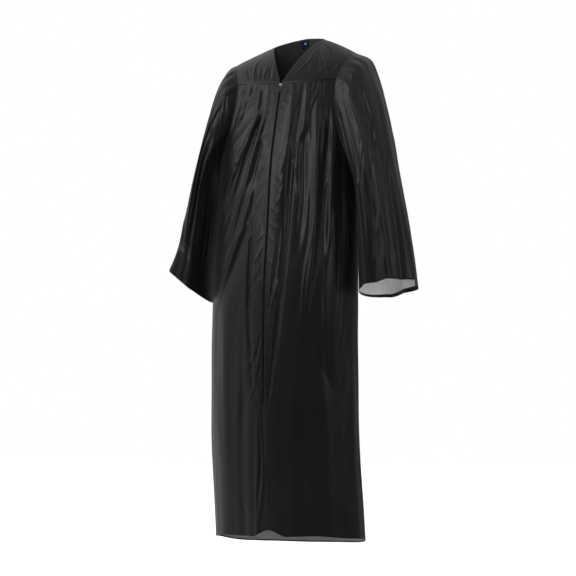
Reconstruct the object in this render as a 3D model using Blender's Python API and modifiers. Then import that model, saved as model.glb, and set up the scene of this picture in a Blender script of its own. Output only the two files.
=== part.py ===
"""Graduation gown, filled out as it is worn but with no wearer: three yokes, two fronts, a back and two
wide bell sleeves, all thin hollow walls, closed down the front by a long zip.

Frame: metres, +Z up. The front faces -Y and the wearer's left is +X. The origin is the middle of the neck
opening at the height of the shoulder points, where the wearer carries the gown. Angles round the body are
in degrees: 0 is centre front, 90 the wearer's left side, 180 centre back, -90 the wearer's right side.
"""

import math

import bmesh
import bpy
import numpy as np
from mathutils import Matrix, Vector

# Cloth
CLOTH = 0.0016
HEM_CLOTH = 0.0026
HEM_DEPTH = 0.018
SEAM_GAP = 0.0003
SIDE_GAP = 0.0006
YOKE_GAP = 0.0009
SHOULDER_GAP = 0.0019
ARMHOLE_GAP = 0.0010

# Heights of the main seams
YOKE_SEAM_CENTRE = -0.125
YOKE_SEAM_END = -0.118
YOKE_END_ANGLE = 45.5
UNDERARM_Z = -0.345
YOKE_DROP = 0.13
ARMHOLE_CURVE = 2.3

# Hem: the fronts end a little above the back, with a notch at the centre-front seam
HEM_COLUMNS = "angle z"
HEM_ROWS = (
    (0, -1.338),
    (35, -1.335),
    (60, -1.341),
    (90, -1.346),
    (130, -1.360),
    (180, -1.364),
)
NOTCH_HEIGHT = 0.018
NOTCH_WIDTH = 0.050

# Neck
NECK_SIDE_LEFT = Vector((0.075, 0.010, 0.006))
NECK_SIDE_RIGHT = Vector((-0.072, 0.010, -0.006))
NECK_BACK = Vector((0.0, 0.066, 0.022))
NECK_SHARE = 0.40
SHOULDER_LEFT = Vector((0.168, 0.006, -0.038))
SHOULDER_RIGHT = Vector((-0.168, 0.006, -0.046))
SHOULDER_RISE_LEFT = 0.003
SHOULDER_RISE_RIGHT = 0.001

# Zip
ZIP_HALF_GAP = 0.0026
ZIP_BOTTOM = -0.985
ZIP_CLOSE = 0.012
TEETH_HALF_WIDTH = 0.0021
TEETH_DEPTH = (0.0006, 0.0024)
TAPE_INNER = 0.0024
TAPE_OUTER = 0.0140
TAPE_THICKNESS = 0.0008
ZIP_ROW_LEAST = 0.004

# Slider and pull tab, in the slider's own frame: x across, y outward negative, z along the zip
SLIDER_Z = -0.1345
SLIDER_WIDTH = 0.0080
SLIDER_TOP = 0.0045
SLIDER_BOTTOM = -0.0050
FRONT_PLATE = (-0.0019, -0.0005)
BACK_PLATE = (0.0031, 0.0040)
POST_HALF_WIDTH = 0.0012
POST_BOTTOM = 0.0020
CROWN_HALF_WIDTH = 0.0011
CROWN_HALF_LENGTH = 0.0026
CROWN_WALL = 0.0009
CROWN_OUT = -0.0045
PIVOT_OUT = -0.00275
PULL_HALF_THICKNESS = 0.00045
PULL_HALF_WIDTH = 0.0026
PULL_EYE_HALF_WIDTH = 0.0015
PULL_EYE_BOTTOM = -0.0040
PULL_LENGTH = 0.0200
PULL_ROUND_STEPS = 8
PARTS_OVERLAP = 0.0002

# Label inside the back neck
LABEL_CENTRE_X = -0.008
LABEL_HALF_WIDTH = 0.011
LABEL_DOWN = 0.0035
LABEL_HEIGHT = 0.022
LABEL_THICKNESS = 0.0006
LABEL_STEPS = 3

# Body: one row for each level of the cloth tube
BODY_COLUMNS = "z centre_x centre_y half_width front_depth back_depth"
BODY_ROWS = (
    (-0.118, 0.000, -0.008, 0.200, 0.110, 0.085),
    (-0.250, -0.008, -0.018, 0.200, 0.128, 0.096),
    (-0.350, -0.013, -0.025, 0.198, 0.138, 0.102),
    (-0.520, -0.016, -0.032, 0.200, 0.148, 0.110),
    (-0.700, -0.021, -0.038, 0.205, 0.153, 0.115),
    (-0.980, -0.022, -0.040, 0.207, 0.154, 0.118),
    (-1.370, -0.004, -0.040, 0.209, 0.156, 0.120),
)

# Folds: one row for each, ridge (+) or groove (-), from its top to its bottom. Angles are away from the
# centre of the panel, front or back. A fold rises to its full height and falls off again at these shares of
# its length, and one that ends below RUNS_OUT_Z runs out through the hem.
FOLD_RISE = 0.22
FOLD_FALL = 0.62
RUNS_OUT_Z = -1.30
FOLD_COLUMNS = "top_z bottom_z top_angle mid_angle bottom_angle half_width height"
FRONT_LEFT_FOLDS = (
    (-0.120, -0.560, 9.5, 8.0, 6.5, 0.020, 0.0060),
    (-0.120, -1.020, 17.0, 15.0, 4.5, 0.012, -0.0065),
    (-0.120, -0.300, 22.0, 23.0, 24.0, 0.014, 0.0050),
    (-0.250, -0.620, 24.0, 27.5, 23.0, 0.016, -0.0060),
    (-0.120, -0.900, 29.0, 37.5, 25.0, 0.016, 0.0075),
    (-0.120, -0.720, 37.0, 43.0, 33.0, 0.014, -0.0080),
    (-0.120, -0.760, 42.0, 51.0, 41.0, 0.011, 0.0070),
    (-0.160, -0.640, 56.0, 62.0, 60.0, 0.024, -0.0060),
    (-0.450, -1.060, 55.0, 56.0, 58.0, 0.026, 0.0090),
    (-0.760, -1.360, 44.0, 36.0, 34.0, 0.020, -0.0060),
    (-0.700, -1.360, 76.0, 66.0, 60.0, 0.022, -0.0060),
    (-0.900, -1.360, 22.0, 22.0, 20.0, 0.030, 0.0050),
    (-0.900, -1.360, 47.0, 50.0, 48.0, 0.026, 0.0070),
    (-0.820, -1.360, 80.0, 80.0, 78.0, 0.026, 0.0060),
)
FRONT_RIGHT_FOLDS = (
    (-0.120, -0.300, 16.5, 15.5, 14.0, 0.008, -0.0050),
    (-0.125, -0.520, 5.5, 29.0, 58.0, 0.013, 0.0065),
    (-0.140, -0.560, 9.0, 26.0, 52.0, 0.011, -0.0060),
    (-0.160, -0.620, 8.0, 21.0, 44.0, 0.012, 0.0055),
    (-0.240, -0.640, 9.0, 19.0, 36.0, 0.012, -0.0055),
    (-0.120, -0.260, 27.0, 33.0, 41.0, 0.014, 0.0060),
    (-0.120, -0.280, 36.0, 42.0, 50.0, 0.010, -0.0050),
    (-0.360, -0.760, 15.0, 27.0, 56.0, 0.020, 0.0080),
    (-0.480, -1.000, 13.0, 12.5, 7.5, 0.012, -0.0060),
    (-0.620, -1.360, 34.0, 38.0, 40.0, 0.050, 0.0080),
    (-0.980, -1.360, 2.5, 6.0, 9.5, 0.011, 0.0050),
    (-0.900, -1.360, 15.0, 19.0, 20.0, 0.022, -0.0060),
    (-0.700, -1.360, 66.0, 64.0, 66.0, 0.026, -0.0060),
)
BACK_FOLDS = (
    (-0.125, -1.370, 0.0, 1.5, -1.0, 0.022, 0.0070),
    (-0.125, -0.900, 9.0, 11.0, 14.0, 0.016, -0.0070),
    (-0.125, -1.370, 17.0, 22.0, 26.0, 0.021, 0.0080),
    (-0.125, -0.760, 26.0, 31.0, 36.0, 0.014, -0.0070),
    (-0.125, -1.200, 33.0, 40.0, 46.0, 0.018, 0.0075),
    (-0.140, -1.000, 41.0, 50.0, 57.0, 0.016, -0.0060),
    (-0.125, -1.000, -8.0, -10.0, -12.0, 0.017, -0.0070),
    (-0.125, -1.370, -16.0, -20.0, -24.0, 0.020, 0.0075),
    (-0.125, -0.820, -24.0, -29.0, -33.0, 0.015, -0.0065),
    (-0.125, -1.370, -32.0, -38.0, -43.0, 0.019, 0.0080),
    (-0.140, -0.900, -40.0, -48.0, -54.0, 0.016, -0.0060),
    (-0.700, -1.370, 62.0, 64.0, 66.0, 0.026, 0.0070),
    (-0.760, -1.370, -60.0, -63.0, -66.0, 0.026, 0.0070),
    (-0.800, -1.370, 36.0, 37.0, 37.0, 0.022, -0.0060),
    (-0.820, -1.370, -33.0, -33.0, -34.0, 0.022, -0.0060),
)
# No fold reaches the strip that carries the zip; below the zip's end the strip may fold again
PLAIN_EDGE = 0.010
PLAIN_FADE = 0.012
PLAIN_BELOW_ZIP = (0.10, 0.20)
# Folds fade out within these distances of the armhole, in degrees, and of the underarm
ARMHOLE_CALM = 9.0
UNDERARM_CALM = 0.06
# The side is calm between these angles and heights, where the sleeve lies against it
SIDE_CALM_ANGLES = (62.0, 84.0)
SIDE_CALM_HEIGHTS = (-0.80, -0.72)

# Sleeves: one row for each ring, from the armhole to the cuff. Outer and inner give the ring's ends away
# from and next to the body, front and back its reach, back_drop how far its back hangs below its front.
SLEEVE_COLUMNS = "along outer_x outer_z inner_x inner_z front_y back_y back_drop"
SLEEVE_LEFT_ROWS = (
    (0.00, 0.168, -0.038, 0.190, -0.345, -0.105, 0.075, 0.000),
    (0.09, 0.212, -0.061, 0.1945, -0.365, -0.122, 0.084, 0.000),
    (0.18, 0.234, -0.105, 0.1960, -0.392, -0.132, 0.084, 0.002),
    (0.34, 0.261, -0.190, 0.1975, -0.440, -0.139, 0.079, 0.004),
    (0.54, 0.291, -0.335, 0.1990, -0.520, -0.141, 0.066, 0.007),
    (0.76, 0.322, -0.470, 0.2000, -0.605, -0.141, 0.052, 0.010),
    (0.90, 0.343, -0.583, 0.2000, -0.660, -0.140, 0.045, 0.012),
    (1.00, 0.355, -0.668, 0.2000, -0.697, -0.138, 0.040, 0.014),
)
SLEEVE_RIGHT_ROWS = (
    (0.00, -0.168, -0.046, -0.206, -0.345, -0.105, 0.075, 0.000),
    (0.09, -0.195, -0.062, -0.2140, -0.365, -0.120, 0.082, 0.000),
    (0.18, -0.212, -0.098, -0.2180, -0.392, -0.128, 0.082, 0.002),
    (0.34, -0.225, -0.180, -0.2230, -0.440, -0.134, 0.078, 0.004),
    (0.54, -0.258, -0.320, -0.2310, -0.520, -0.138, 0.066, 0.007),
    (0.76, -0.293, -0.470, -0.2400, -0.610, -0.140, 0.052, 0.010),
    (0.88, -0.312, -0.545, -0.2430, -0.665, -0.140, 0.045, 0.012),
    (1.00, -0.350, -0.620, -0.2440, -0.706, -0.138, 0.038, 0.014),
)
# Where the rings lie: their closeness near the armhole, and the last one above the cuff's turned hem
RING_CLOSENESS = 0.55
CUFF_HEM_SHARE = 0.975
# The rings turn from the armhole's shape to ovals by this share, their points spread evenly between these
OVAL_SHARE = 0.45
EVEN_SHARES = (0.1, 0.8)
# Sleeve folds: around is the place round the ring in degrees, 0 away from the body, 90 front, 180 next to
# the body, 270 back
SLEEVE_FOLD_RISE = 0.3
SLEEVE_FOLD_FALL = 0.6
SLEEVE_FOLD_COLUMNS = "top bottom top_around mid_around bottom_around half_width height"
SLEEVE_LEFT_FOLDS = (
    (0.06, 0.80, 62.0, 74.0, 84.0, 0.015, 0.0080),
    (0.06, 0.70, 40.0, 50.0, 56.0, 0.018, -0.0070),
    (0.40, 1.00, 50.0, 62.0, 70.0, 0.020, 0.0090),
    (0.45, 1.00, 80.0, 88.0, 94.0, 0.020, -0.0080),
    (0.50, 1.00, 30.0, 36.0, 40.0, 0.020, -0.0080),
    (0.10, 1.00, 8.0, 12.0, 14.0, 0.026, 0.0080),
    (0.10, 1.00, -22.0, -20.0, -18.0, 0.024, -0.0070),
    (0.10, 1.00, -50.0, -50.0, -48.0, 0.028, 0.0090),
    (0.20, 1.00, -80.0, -78.0, -76.0, 0.024, -0.0080),
    (0.20, 1.00, -108.0, -106.0, -104.0, 0.024, 0.0080),
    (0.30, 1.00, 112.0, 114.0, 116.0, 0.022, 0.0080),
)
SLEEVE_RIGHT_FOLDS = (
    (0.06, 0.95, 64.0, 74.0, 82.0, 0.014, 0.0080),
    (0.06, 0.80, 46.0, 58.0, 66.0, 0.015, -0.0070),
    (0.10, 0.90, 28.0, 38.0, 46.0, 0.018, 0.0080),
    (0.20, 0.90, 88.0, 96.0, 100.0, 0.016, -0.0070),
    (0.62, 1.00, 20.0, 30.0, 46.0, 0.022, -0.0080),
    (0.70, 1.00, 52.0, 60.0, 66.0, 0.022, 0.0080),
    (0.10, 1.00, 6.0, 4.0, 0.0, 0.022, -0.0060),
    (0.10, 1.00, -20.0, -20.0, -18.0, 0.026, 0.0080),
    (0.10, 1.00, -48.0, -48.0, -48.0, 0.024, -0.0080),
    (0.20, 1.00, -76.0, -76.0, -74.0, 0.026, 0.0090),
    (0.20, 1.00, -104.0, -104.0, -102.0, 0.024, -0.0080),
    (0.30, 1.00, 114.0, 116.0, 118.0, 0.022, 0.0080),
)
# Gathers at the sleeve head: how many on each side of the shoulder, over what length of the armhole, how
# deep, and how far down they fade
GATHER_COUNT = 9
GATHER_SPAN = 0.150
GATHER_SPAN_FADE = 0.015
GATHER_HEIGHT = 0.0034
GATHER_FULL = 0.055
GATHER_END = 0.26

# Least distance of a sleeve from the body's plain tube, reached by this share of the sleeve
BODY_CLEARANCE = 0.005
CLEARANCE_SHARE = 0.06

# Gathers of the fronts and back below the yoke seam
PLEAT_STEP = 5.4
PLEAT_HEIGHT = 0.0016
PLEAT_FULL = 0.02
PLEAT_FADE = 0.03
PLEAT_END = 0.11

# Mesh: steps across and down each piece
FRONT_STEPS = 22
BACK_STEPS = 34
ARMHOLE_STEPS = 7
ARMHOLE_CLOSENESS = 1.6
ZIP_STEPS = 9
LOWER_STEPS = 4
YOKE_STEPS_ACROSS = 9
YOKE_STEPS_DOWN = 5
NECK_STEPS = 8
SLEEVE_STEPS = 12
GATHER_SPLIT = 3
SIDE_SPLIT = 1

SATIN = (0.012, 0.011, 0.013)
TAPE_BLACK = (0.010, 0.010, 0.011)
NAVY = (0.012, 0.020, 0.060)
BLACK_ENAMEL = (0.02, 0.02, 0.022)
STEEL = (0.55, 0.55, 0.56)


def table(columns, rows):
    """The rows as one array for each named column."""
    return {name: np.array([row[i] for row in rows], float) for i, name in enumerate(columns.split())}


def named(columns, row):
    """One row of a table with its columns' names."""
    return dict(zip(columns.split(), row))


def smooth(xs, ys, x):
    """The monotone cubic through the points of a table."""
    step = np.diff(xs)
    slope = np.diff(ys) / step
    ends = np.zeros(len(xs))
    for i in range(1, len(xs) - 1):
        if slope[i - 1] * slope[i] > 0:
            before = 2 * step[i] + step[i - 1]
            after = step[i] + 2 * step[i - 1]
            ends[i] = (before + after) / (before / slope[i - 1] + after / slope[i])
    ends[0], ends[-1] = slope[0], slope[-1]
    x = min(max(x, xs[0]), xs[-1])
    i = min(int(np.searchsorted(xs, x, side="right")) - 1, len(step) - 1)
    u = (x - xs[i]) / step[i]
    return (
        ys[i] * (1 + 2 * u) * (1 - u) ** 2
        + ends[i] * step[i] * u * (1 - u) ** 2
        + ys[i + 1] * u * u * (3 - 2 * u)
        - ends[i + 1] * step[i] * u * u * (1 - u)
    )


def fade(low, high, value):
    """0 below low and 1 above high, with a soft step between."""
    u = min(max((value - low) / (high - low), 0.0), 1.0)
    return u * u * (3 - 2 * u)


def through_three(start, middle, end, u):
    """The curve through three values at u = 0, a half and 1."""
    return start * (1 - u) * (1 - 2 * u) + middle * 4 * u * (1 - u) + end * u * (2 * u - 1)


def bump(distance, half_width):
    """A soft ridge, 1 in its middle and 0 from half_width on."""
    if abs(distance) >= half_width:
        return 0.0
    return 0.5 * (1 + math.cos(math.pi * distance / half_width))


BODY = table(BODY_COLUMNS, BODY_ROWS)
HEM = table(HEM_COLUMNS, HEM_ROWS)


def body_value(column, z):
    return smooth(-BODY["z"], BODY[column], -z)


def body_frame(angle, z):
    """The plain tube's point at this angle and height, its outward direction and its turning radius."""
    turn = math.radians(angle)
    wide = body_value("half_width", z)
    deep = body_value("front_depth" if math.cos(turn) > 0 else "back_depth", z)
    centre = Vector((body_value("centre_x", z), body_value("centre_y", z), z))
    point = centre + Vector((wide * math.sin(turn), -deep * math.cos(turn), 0))
    out = Vector((math.sin(turn) / wide, -math.cos(turn) / deep, 0)).normalized()
    radius = math.hypot(wide * math.cos(turn), deep * math.sin(turn))
    return point, out, radius


def fold_height(folds, angle, z, radius):
    """How far the folds of a panel lift its cloth at this place."""
    total = 0.0
    for row in folds:
        fold = named(FOLD_COLUMNS, row)
        u = min(max((fold["top_z"] - z) / (fold["top_z"] - fold["bottom_z"]), 0.0), 1.0)
        at = through_three(fold["top_angle"], fold["mid_angle"], fold["bottom_angle"], u)
        ends = fade(0.0, FOLD_RISE, u)
        if fold["bottom_z"] > RUNS_OUT_Z:
            ends *= 1 - fade(FOLD_FALL, 1.0, u)
        total += fold["height"] * ends * bump(math.radians(angle - at) * radius, fold["half_width"])
    return total


def seam_height(angle):
    """Height of the yoke seam at an angle from centre front or centre back."""
    rise = YOKE_SEAM_END - YOKE_SEAM_CENTRE
    return YOKE_SEAM_CENTRE + rise * fade(0, YOKE_END_ANGLE, abs(angle))


def hem_height(angle):
    """Height of the hem, with the small notch where the two fronts meet."""
    away = abs(angle)
    across = math.radians(away) * BODY["half_width"][-1]
    notch = NOTCH_HEIGHT * (1 - fade(0, NOTCH_WIDTH, across))
    return smooth(HEM["angle"], HEM["z"], away) + notch


def armhole_angle(share):
    """Angle of the armhole's edge from centre front or back, by its share of the way to the underarm."""
    curve = 1 - (1 - min(share, 1.0) ** ARMHOLE_CURVE) ** (1 / ARMHOLE_CURVE)
    return YOKE_END_ANGLE + (90 - YOKE_END_ANGLE) * curve


def armhole_shares():
    """Rows from the yoke seam to the underarm, closer together where the armhole turns under the arm."""
    return [1 - (1 - i / ARMHOLE_STEPS) ** ARMHOLE_CLOSENESS for i in range(ARMHOLE_STEPS + 1)]


def pleats(angle, z):
    """Small gathers that the yoke seam holds, fading down the panel."""
    below = seam_height(angle) - z
    reach = fade(0, PLEAT_FULL, below) * (1 - fade(PLEAT_FADE, PLEAT_END, below))
    return PLEAT_HEIGHT * reach * math.cos(2 * math.pi * angle / PLEAT_STEP)


def edge_gap(z):
    """Half the gap between the fronts: the zip's above its end, a seam's below."""
    return SEAM_GAP / 2 + (ZIP_HALF_GAP - SEAM_GAP / 2) * fade(ZIP_BOTTOM - ZIP_CLOSE, ZIP_BOTTOM, z)


def panel_rows():
    """(share above the underarm, share below it) for each row of a front or back panel."""
    drop = UNDERARM_Z - hem_height(0)
    zip_end = (UNDERARM_Z - ZIP_BOTTOM) / drop
    closed = zip_end + ZIP_CLOSE / drop
    band = 1 - HEM_DEPTH / drop
    above = [(share, 0.0) for share in armhole_shares()]
    beside_zip = [zip_end * i / ZIP_STEPS for i in range(1, ZIP_STEPS + 1)]
    lower = [closed + (band - closed) * i / LOWER_STEPS for i in range(LOWER_STEPS + 1)]
    return above + [(1.0, share) for share in beside_zip + lower + [1.0]]


def front_point(side, folds, across, row):
    """A point of a front panel: side is 1 for the wearer's left, across 0 at the zip and 1 at the side."""
    above, below = row
    guess_angle = across * armhole_angle(above)
    top = seam_height(guess_angle) - YOKE_GAP / 2
    z = top + (UNDERARM_Z - top) * above
    z += (hem_height(guess_angle) - UNDERARM_Z) * below
    wide = body_value("half_width", z)
    first = math.degrees(math.asin(edge_gap(z) / wide))
    side_gap = math.degrees(SIDE_GAP / 2 / body_value("front_depth", z))
    last = armhole_angle(above) - (side_gap if above >= 1 else 0)
    angle = first + (last - first) * across
    point, out, radius = body_frame(side * angle, z)
    from_zip = math.radians(angle) * radius - edge_gap(z)
    free = max(fade(PLAIN_EDGE, PLAIN_EDGE + PLAIN_FADE, from_zip), fade(*PLAIN_BELOW_ZIP, ZIP_BOTTOM - z))
    lift = fold_height(folds, angle, z, radius) + pleats(angle, z)
    return point + out * (free * calm_near_arm(angle, z) * lift)


def calm_near_arm(angle, z):
    """Folds fade out at the armhole and where the sleeve lies against the side."""
    above = min(max((seam_height(angle) - z) / (seam_height(angle) - UNDERARM_Z), 0.0), 1.0)
    from_armhole = armhole_angle(above) - angle
    at_edge = max(fade(0, ARMHOLE_CALM, from_armhole), fade(0, UNDERARM_CALM, UNDERARM_Z - z))
    beside_sleeve = fade(*SIDE_CALM_ANGLES, angle) * fade(*SIDE_CALM_HEIGHTS, z)
    return at_edge * (1 - beside_sleeve)


def back_point(across, row):
    """A point of the back panel: across -1 at the wearer's right side, 1 at the left."""
    above, below = row
    guess_angle = across * armhole_angle(above)
    top = seam_height(guess_angle) - YOKE_GAP / 2
    z = top + (UNDERARM_Z - top) * above
    z += (hem_height(180 - abs(guess_angle)) - UNDERARM_Z) * below
    side_gap = math.degrees(SIDE_GAP / 2 / body_value("back_depth", z))
    last = armhole_angle(above) - (side_gap if above >= 1 else 0)
    angle = last * across
    point, out, radius = body_frame(180 - angle, z)
    lift = fold_height(BACK_FOLDS, angle, z, radius) + pleats(angle, z)
    return point + out * (calm_near_arm(abs(angle), z) * lift)


def bezier(points, u):
    """A quadratic or cubic Bezier curve."""
    while len(points) > 1:
        points = [a.lerp(b, u) for a, b in zip(points, points[1:])]
    return points[0]


def neck_side(side):
    return NECK_SIDE_LEFT if side > 0 else NECK_SIDE_RIGHT


def shoulder(side):
    return SHOULDER_LEFT if side > 0 else SHOULDER_RIGHT


def shoulder_line(side, u):
    """The shoulder seam from the neck to the armhole, a little rounded."""
    start, end = neck_side(side), shoulder(side)
    rise = SHOULDER_RISE_LEFT if side > 0 else SHOULDER_RISE_RIGHT
    return start.lerp(end, u) + Vector((0, 0, rise)) * (4 * u * (1 - u))


def v_edge(side, u):
    """The edge of the V neck from the shoulder down to the top of the zip."""
    start = neck_side(side)
    end = body_frame(side * math.degrees(ZIP_HALF_GAP / BODY["half_width"][0]), YOKE_SEAM_CENTRE)[0]
    over_shoulder = Vector((side * 0.062, -0.030, start.z - 0.008))
    down_chest = Vector((side * 0.030, -0.095, -0.065))
    return bezier([start, over_shoulder, down_chest, end], u)


def yoke_arm_edge(side, back, u):
    """The yoke's edge at the armhole, from the shoulder down to the yoke seam."""
    start = shoulder(side)
    angle = side * YOKE_END_ANGLE
    end = body_frame(180 - angle if back else angle, YOKE_SEAM_END)[0]
    pull = Vector((side * 0.164, 0.052 if back else -0.060, start.z - 0.008))
    return bezier([start, pull, end], u)


def yoke_seam(angle, back):
    point, out, radius = body_frame(180 - angle if back else angle, seam_height(angle))
    return point


def back_neck(u):
    """The back neck edge, u from 0 at the wearer's right shoulder to 1 at the left."""
    first = bezier([NECK_SIDE_RIGHT, Vector((-0.058, 0.060, 0.014)), NECK_BACK], min(2 * u, 1.0))
    second = bezier([NECK_BACK, Vector((0.058, 0.060, 0.020)), NECK_SIDE_LEFT], max(2 * u - 1, 0.0))
    return first if u < 0.5 else second


def coons(top, bottom, left, right, u, v):
    """The surface between four edges: u runs along top and bottom, v down the sides."""
    across = top(u).lerp(bottom(u), v)
    down = left(v).lerp(right(v), u)
    corners = top(0).lerp(top(1), u).lerp(bottom(0).lerp(bottom(1), u), v)
    return across + down - corners


def yoke_downs():
    """Rows of a yoke, held back from the shoulder seam and the yoke seam by half of each gap."""
    first = SHOULDER_GAP / 2 / YOKE_DROP
    last = 1 - YOKE_GAP / 2 / YOKE_DROP
    return [first + (last - first) * i / YOKE_STEPS_DOWN for i in range(YOKE_STEPS_DOWN + 1)]


def yoke_front_grid(side):
    def top(u):
        return shoulder_line(side, u)

    def bottom(u):
        first = math.degrees(ZIP_HALF_GAP / BODY["half_width"][0])
        angle = first + (YOKE_END_ANGLE - first) * u
        return yoke_seam(side * angle, False)

    def at_neck(v):
        return v_edge(side, v)

    def at_arm(v):
        return yoke_arm_edge(side, False, v)

    steps = [i / YOKE_STEPS_ACROSS for i in range(YOKE_STEPS_ACROSS + 1)]
    downs = yoke_downs()
    return [[coons(top, bottom, at_neck, at_arm, u, v) for u in steps] for v in downs]


def yoke_back_grid():
    seam = (1 - NECK_SHARE) / 2

    def top(u):
        if u < seam:
            point = shoulder_line(-1, 1 - u / seam)
        elif u > 1 - seam:
            point = shoulder_line(1, 1 - (1 - u) / seam)
        else:
            point = back_neck((u - seam) / NECK_SHARE)
        return point

    def bottom(u):
        return yoke_seam((2 * u - 1) * YOKE_END_ANGLE, True)

    def at_right(v):
        return yoke_arm_edge(-1, True, v)

    def at_left(v):
        return yoke_arm_edge(1, True, v)

    steps = [seam * i / YOKE_STEPS_ACROSS for i in range(YOKE_STEPS_ACROSS)]
    steps += [seam + NECK_SHARE * i / NECK_STEPS for i in range(NECK_STEPS)]
    steps += [1 - seam + seam * i / YOKE_STEPS_ACROSS for i in range(YOKE_STEPS_ACROSS + 1)]
    downs = yoke_downs()
    return [[coons(top, bottom, at_right, at_left, u, v) for u in steps] for v in downs]


def armhole_loop(side):
    """Points round the armhole from the shoulder down the front, under the arm and up the back, on the
    corners of the panels and yokes that it joins, each stretch split as the sleeve's gathers need."""
    downs = [i / YOKE_STEPS_DOWN for i in range(YOKE_STEPS_DOWN + 1)]
    rows = [(share, 0.0) for share in armhole_shares()]
    folds = FRONT_LEFT_FOLDS if side > 0 else FRONT_RIGHT_FOLDS
    front = [yoke_arm_edge(side, False, v) for v in downs[:-1]]
    front_edge = [front_point(side, folds, 1.0, row) for row in rows]
    back_edge = [back_point(side, row) for row in rows[:-1]]
    back = [yoke_arm_edge(side, True, v) for v in downs[1:-1]]
    corners = front + front_edge + back_edge[::-1] + back[::-1]
    gathered = set(range(len(front) + 2)) | set(range(len(corners) - len(back) - 3, len(corners)))
    points = []
    for i, start in enumerate(corners):
        split = GATHER_SPLIT if i in gathered else SIDE_SPLIT
        end = corners[(i + 1) % len(corners)]
        points += [start.lerp(end, j / split) for j in range(split)]
    return points


def sleeve_grid(side, rows, folds):
    """Rings from the armhole to the cuff. Each keeps the armhole's own shape at first and turns into an
    oval by the elbow."""
    sizes = table(SLEEVE_COLUMNS, rows)
    loop = armhole_loop(side)
    shares = [i / SLEEVE_STEPS for i in range(SLEEVE_STEPS)]
    shares = [share * (RING_CLOSENESS + (1 - RING_CLOSENESS) * share) for share in shares]
    shares += [CUFF_HEM_SHARE, 1.0]
    grid = []
    lengths = [0.0]
    for a, b in zip(loop, loop[1:] + loop[:1]):
        lengths.append(lengths[-1] + (b - a).length)
    first = ring_frame(sizes, 0.0)
    own = [local_place(first, point) for point in loop]
    angles = [math.atan2(q / first["deep"], p / first["high"]) for p, q, r in own]
    for share in shares:
        frame = ring_frame(sizes, share)
        keep = 1 - fade(0.0, OVAL_SHARE, share)
        ring = []
        for i, (p, q, r) in enumerate(own):
            along_ring = lengths[i] / lengths[-1]
            even = -2 * math.pi * along_ring
            turn = mix_turn(angles[i], even, fade(*EVEN_SHARES, share))
            oval_p = frame["high"] * math.cos(turn)
            oval_q = frame["deep"] * math.sin(turn)
            scale_p = frame["high"] / first["high"]
            scale_q = frame["deep"] / first["deep"]
            p_here = keep * p * scale_p + (1 - keep) * oval_p
            q_here = keep * q * scale_q + (1 - keep) * oval_q
            point = frame["centre"] + frame["up"] * p_here + frame["side"] * q_here
            point = point + frame["away"] * r * keep
            out = frame["up"] * math.cos(turn) / frame["high"]
            out = (out + frame["side"] * math.sin(turn) / frame["deep"]).normalized()
            lift = sleeve_fold(folds, share, -math.degrees(turn), frame)
            lift += gather(share, along_ring, lengths[-1])
            if share == 0:
                point = point + Vector((side * ARMHOLE_GAP, 0, 0))
            clearance = BODY_CLEARANCE * fade(0, CLEARANCE_SHARE, share)
            ring.append(clear_of_body(point + out * lift, clearance))
        grid.append(ring)
    return grid


def clear_of_body(point, clearance):
    """The point, moved out from the body's plain tube where it lies closer than the clearance."""
    if point.z > YOKE_SEAM_END or clearance == 0:
        return point
    wide = body_value("half_width", point.z)
    centre = Vector((body_value("centre_x", point.z), body_value("centre_y", point.z), point.z))
    from_centre = point - centre
    deep = body_value("front_depth" if from_centre.y < 0 else "back_depth", point.z)
    reach = math.hypot(from_centre.x / wide, from_centre.y / deep)
    slope = Vector((from_centre.x / wide**2, from_centre.y / deep**2, 0)) / reach
    distance = (reach - 1) / slope.length
    if distance >= clearance:
        return point
    return point + slope.normalized() * (clearance - distance)


def ring_frame(sizes, share):
    """Centre, axes and half-sizes of the sleeve's ring at a share of its length."""
    value = {name: smooth(sizes["along"], sizes[name], share) for name in sizes}
    outer = Vector((value["outer_x"], 0, value["outer_z"]))
    inner = Vector((value["inner_x"], 0, value["inner_z"]))
    middle_y = (value["front_y"] + value["back_y"]) / 2
    deep = (value["back_y"] - value["front_y"]) / 2
    centre = (outer + inner) / 2 + Vector((0, middle_y, 0))
    up = (outer - inner).normalized()
    side = Vector((0, deep, -value["back_drop"])).normalized()
    away = up.cross(side).normalized()
    high = (outer - inner).length / 2
    return {"centre": centre, "up": up, "side": side, "away": away, "deep": deep, "high": high}


def local_place(frame, point):
    """The point as distances along a ring's up, side and away directions."""
    rest = point - frame["centre"]
    return rest.dot(frame["up"]), rest.dot(frame["side"]), rest.dot(frame["away"])


def mix_turn(a, b, share):
    """The angle between a and b, going the short way round."""
    step = (b - a + math.pi) % (2 * math.pi) - math.pi
    return a + step * share


def sleeve_fold(folds, share, around, frame):
    """How far the sleeve's folds lift its cloth here."""
    total = 0.0
    turn = math.radians(around)
    radius = math.hypot(frame["deep"] * math.cos(turn), frame["high"] * math.sin(turn))
    for row in folds:
        fold = named(SLEEVE_FOLD_COLUMNS, row)
        u = min(max((share - fold["top"]) / (fold["bottom"] - fold["top"]), 0.0), 1.0)
        at = through_three(fold["top_around"], fold["mid_around"], fold["bottom_around"], u)
        ends = fade(0, SLEEVE_FOLD_RISE, u)
        if fold["bottom"] < 1:
            ends *= 1 - fade(SLEEVE_FOLD_FALL, 1.0, u)
        apart = (around - at + 180) % 360 - 180
        total += fold["height"] * ends * bump(math.radians(apart) * radius, fold["half_width"])
    return total


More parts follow.
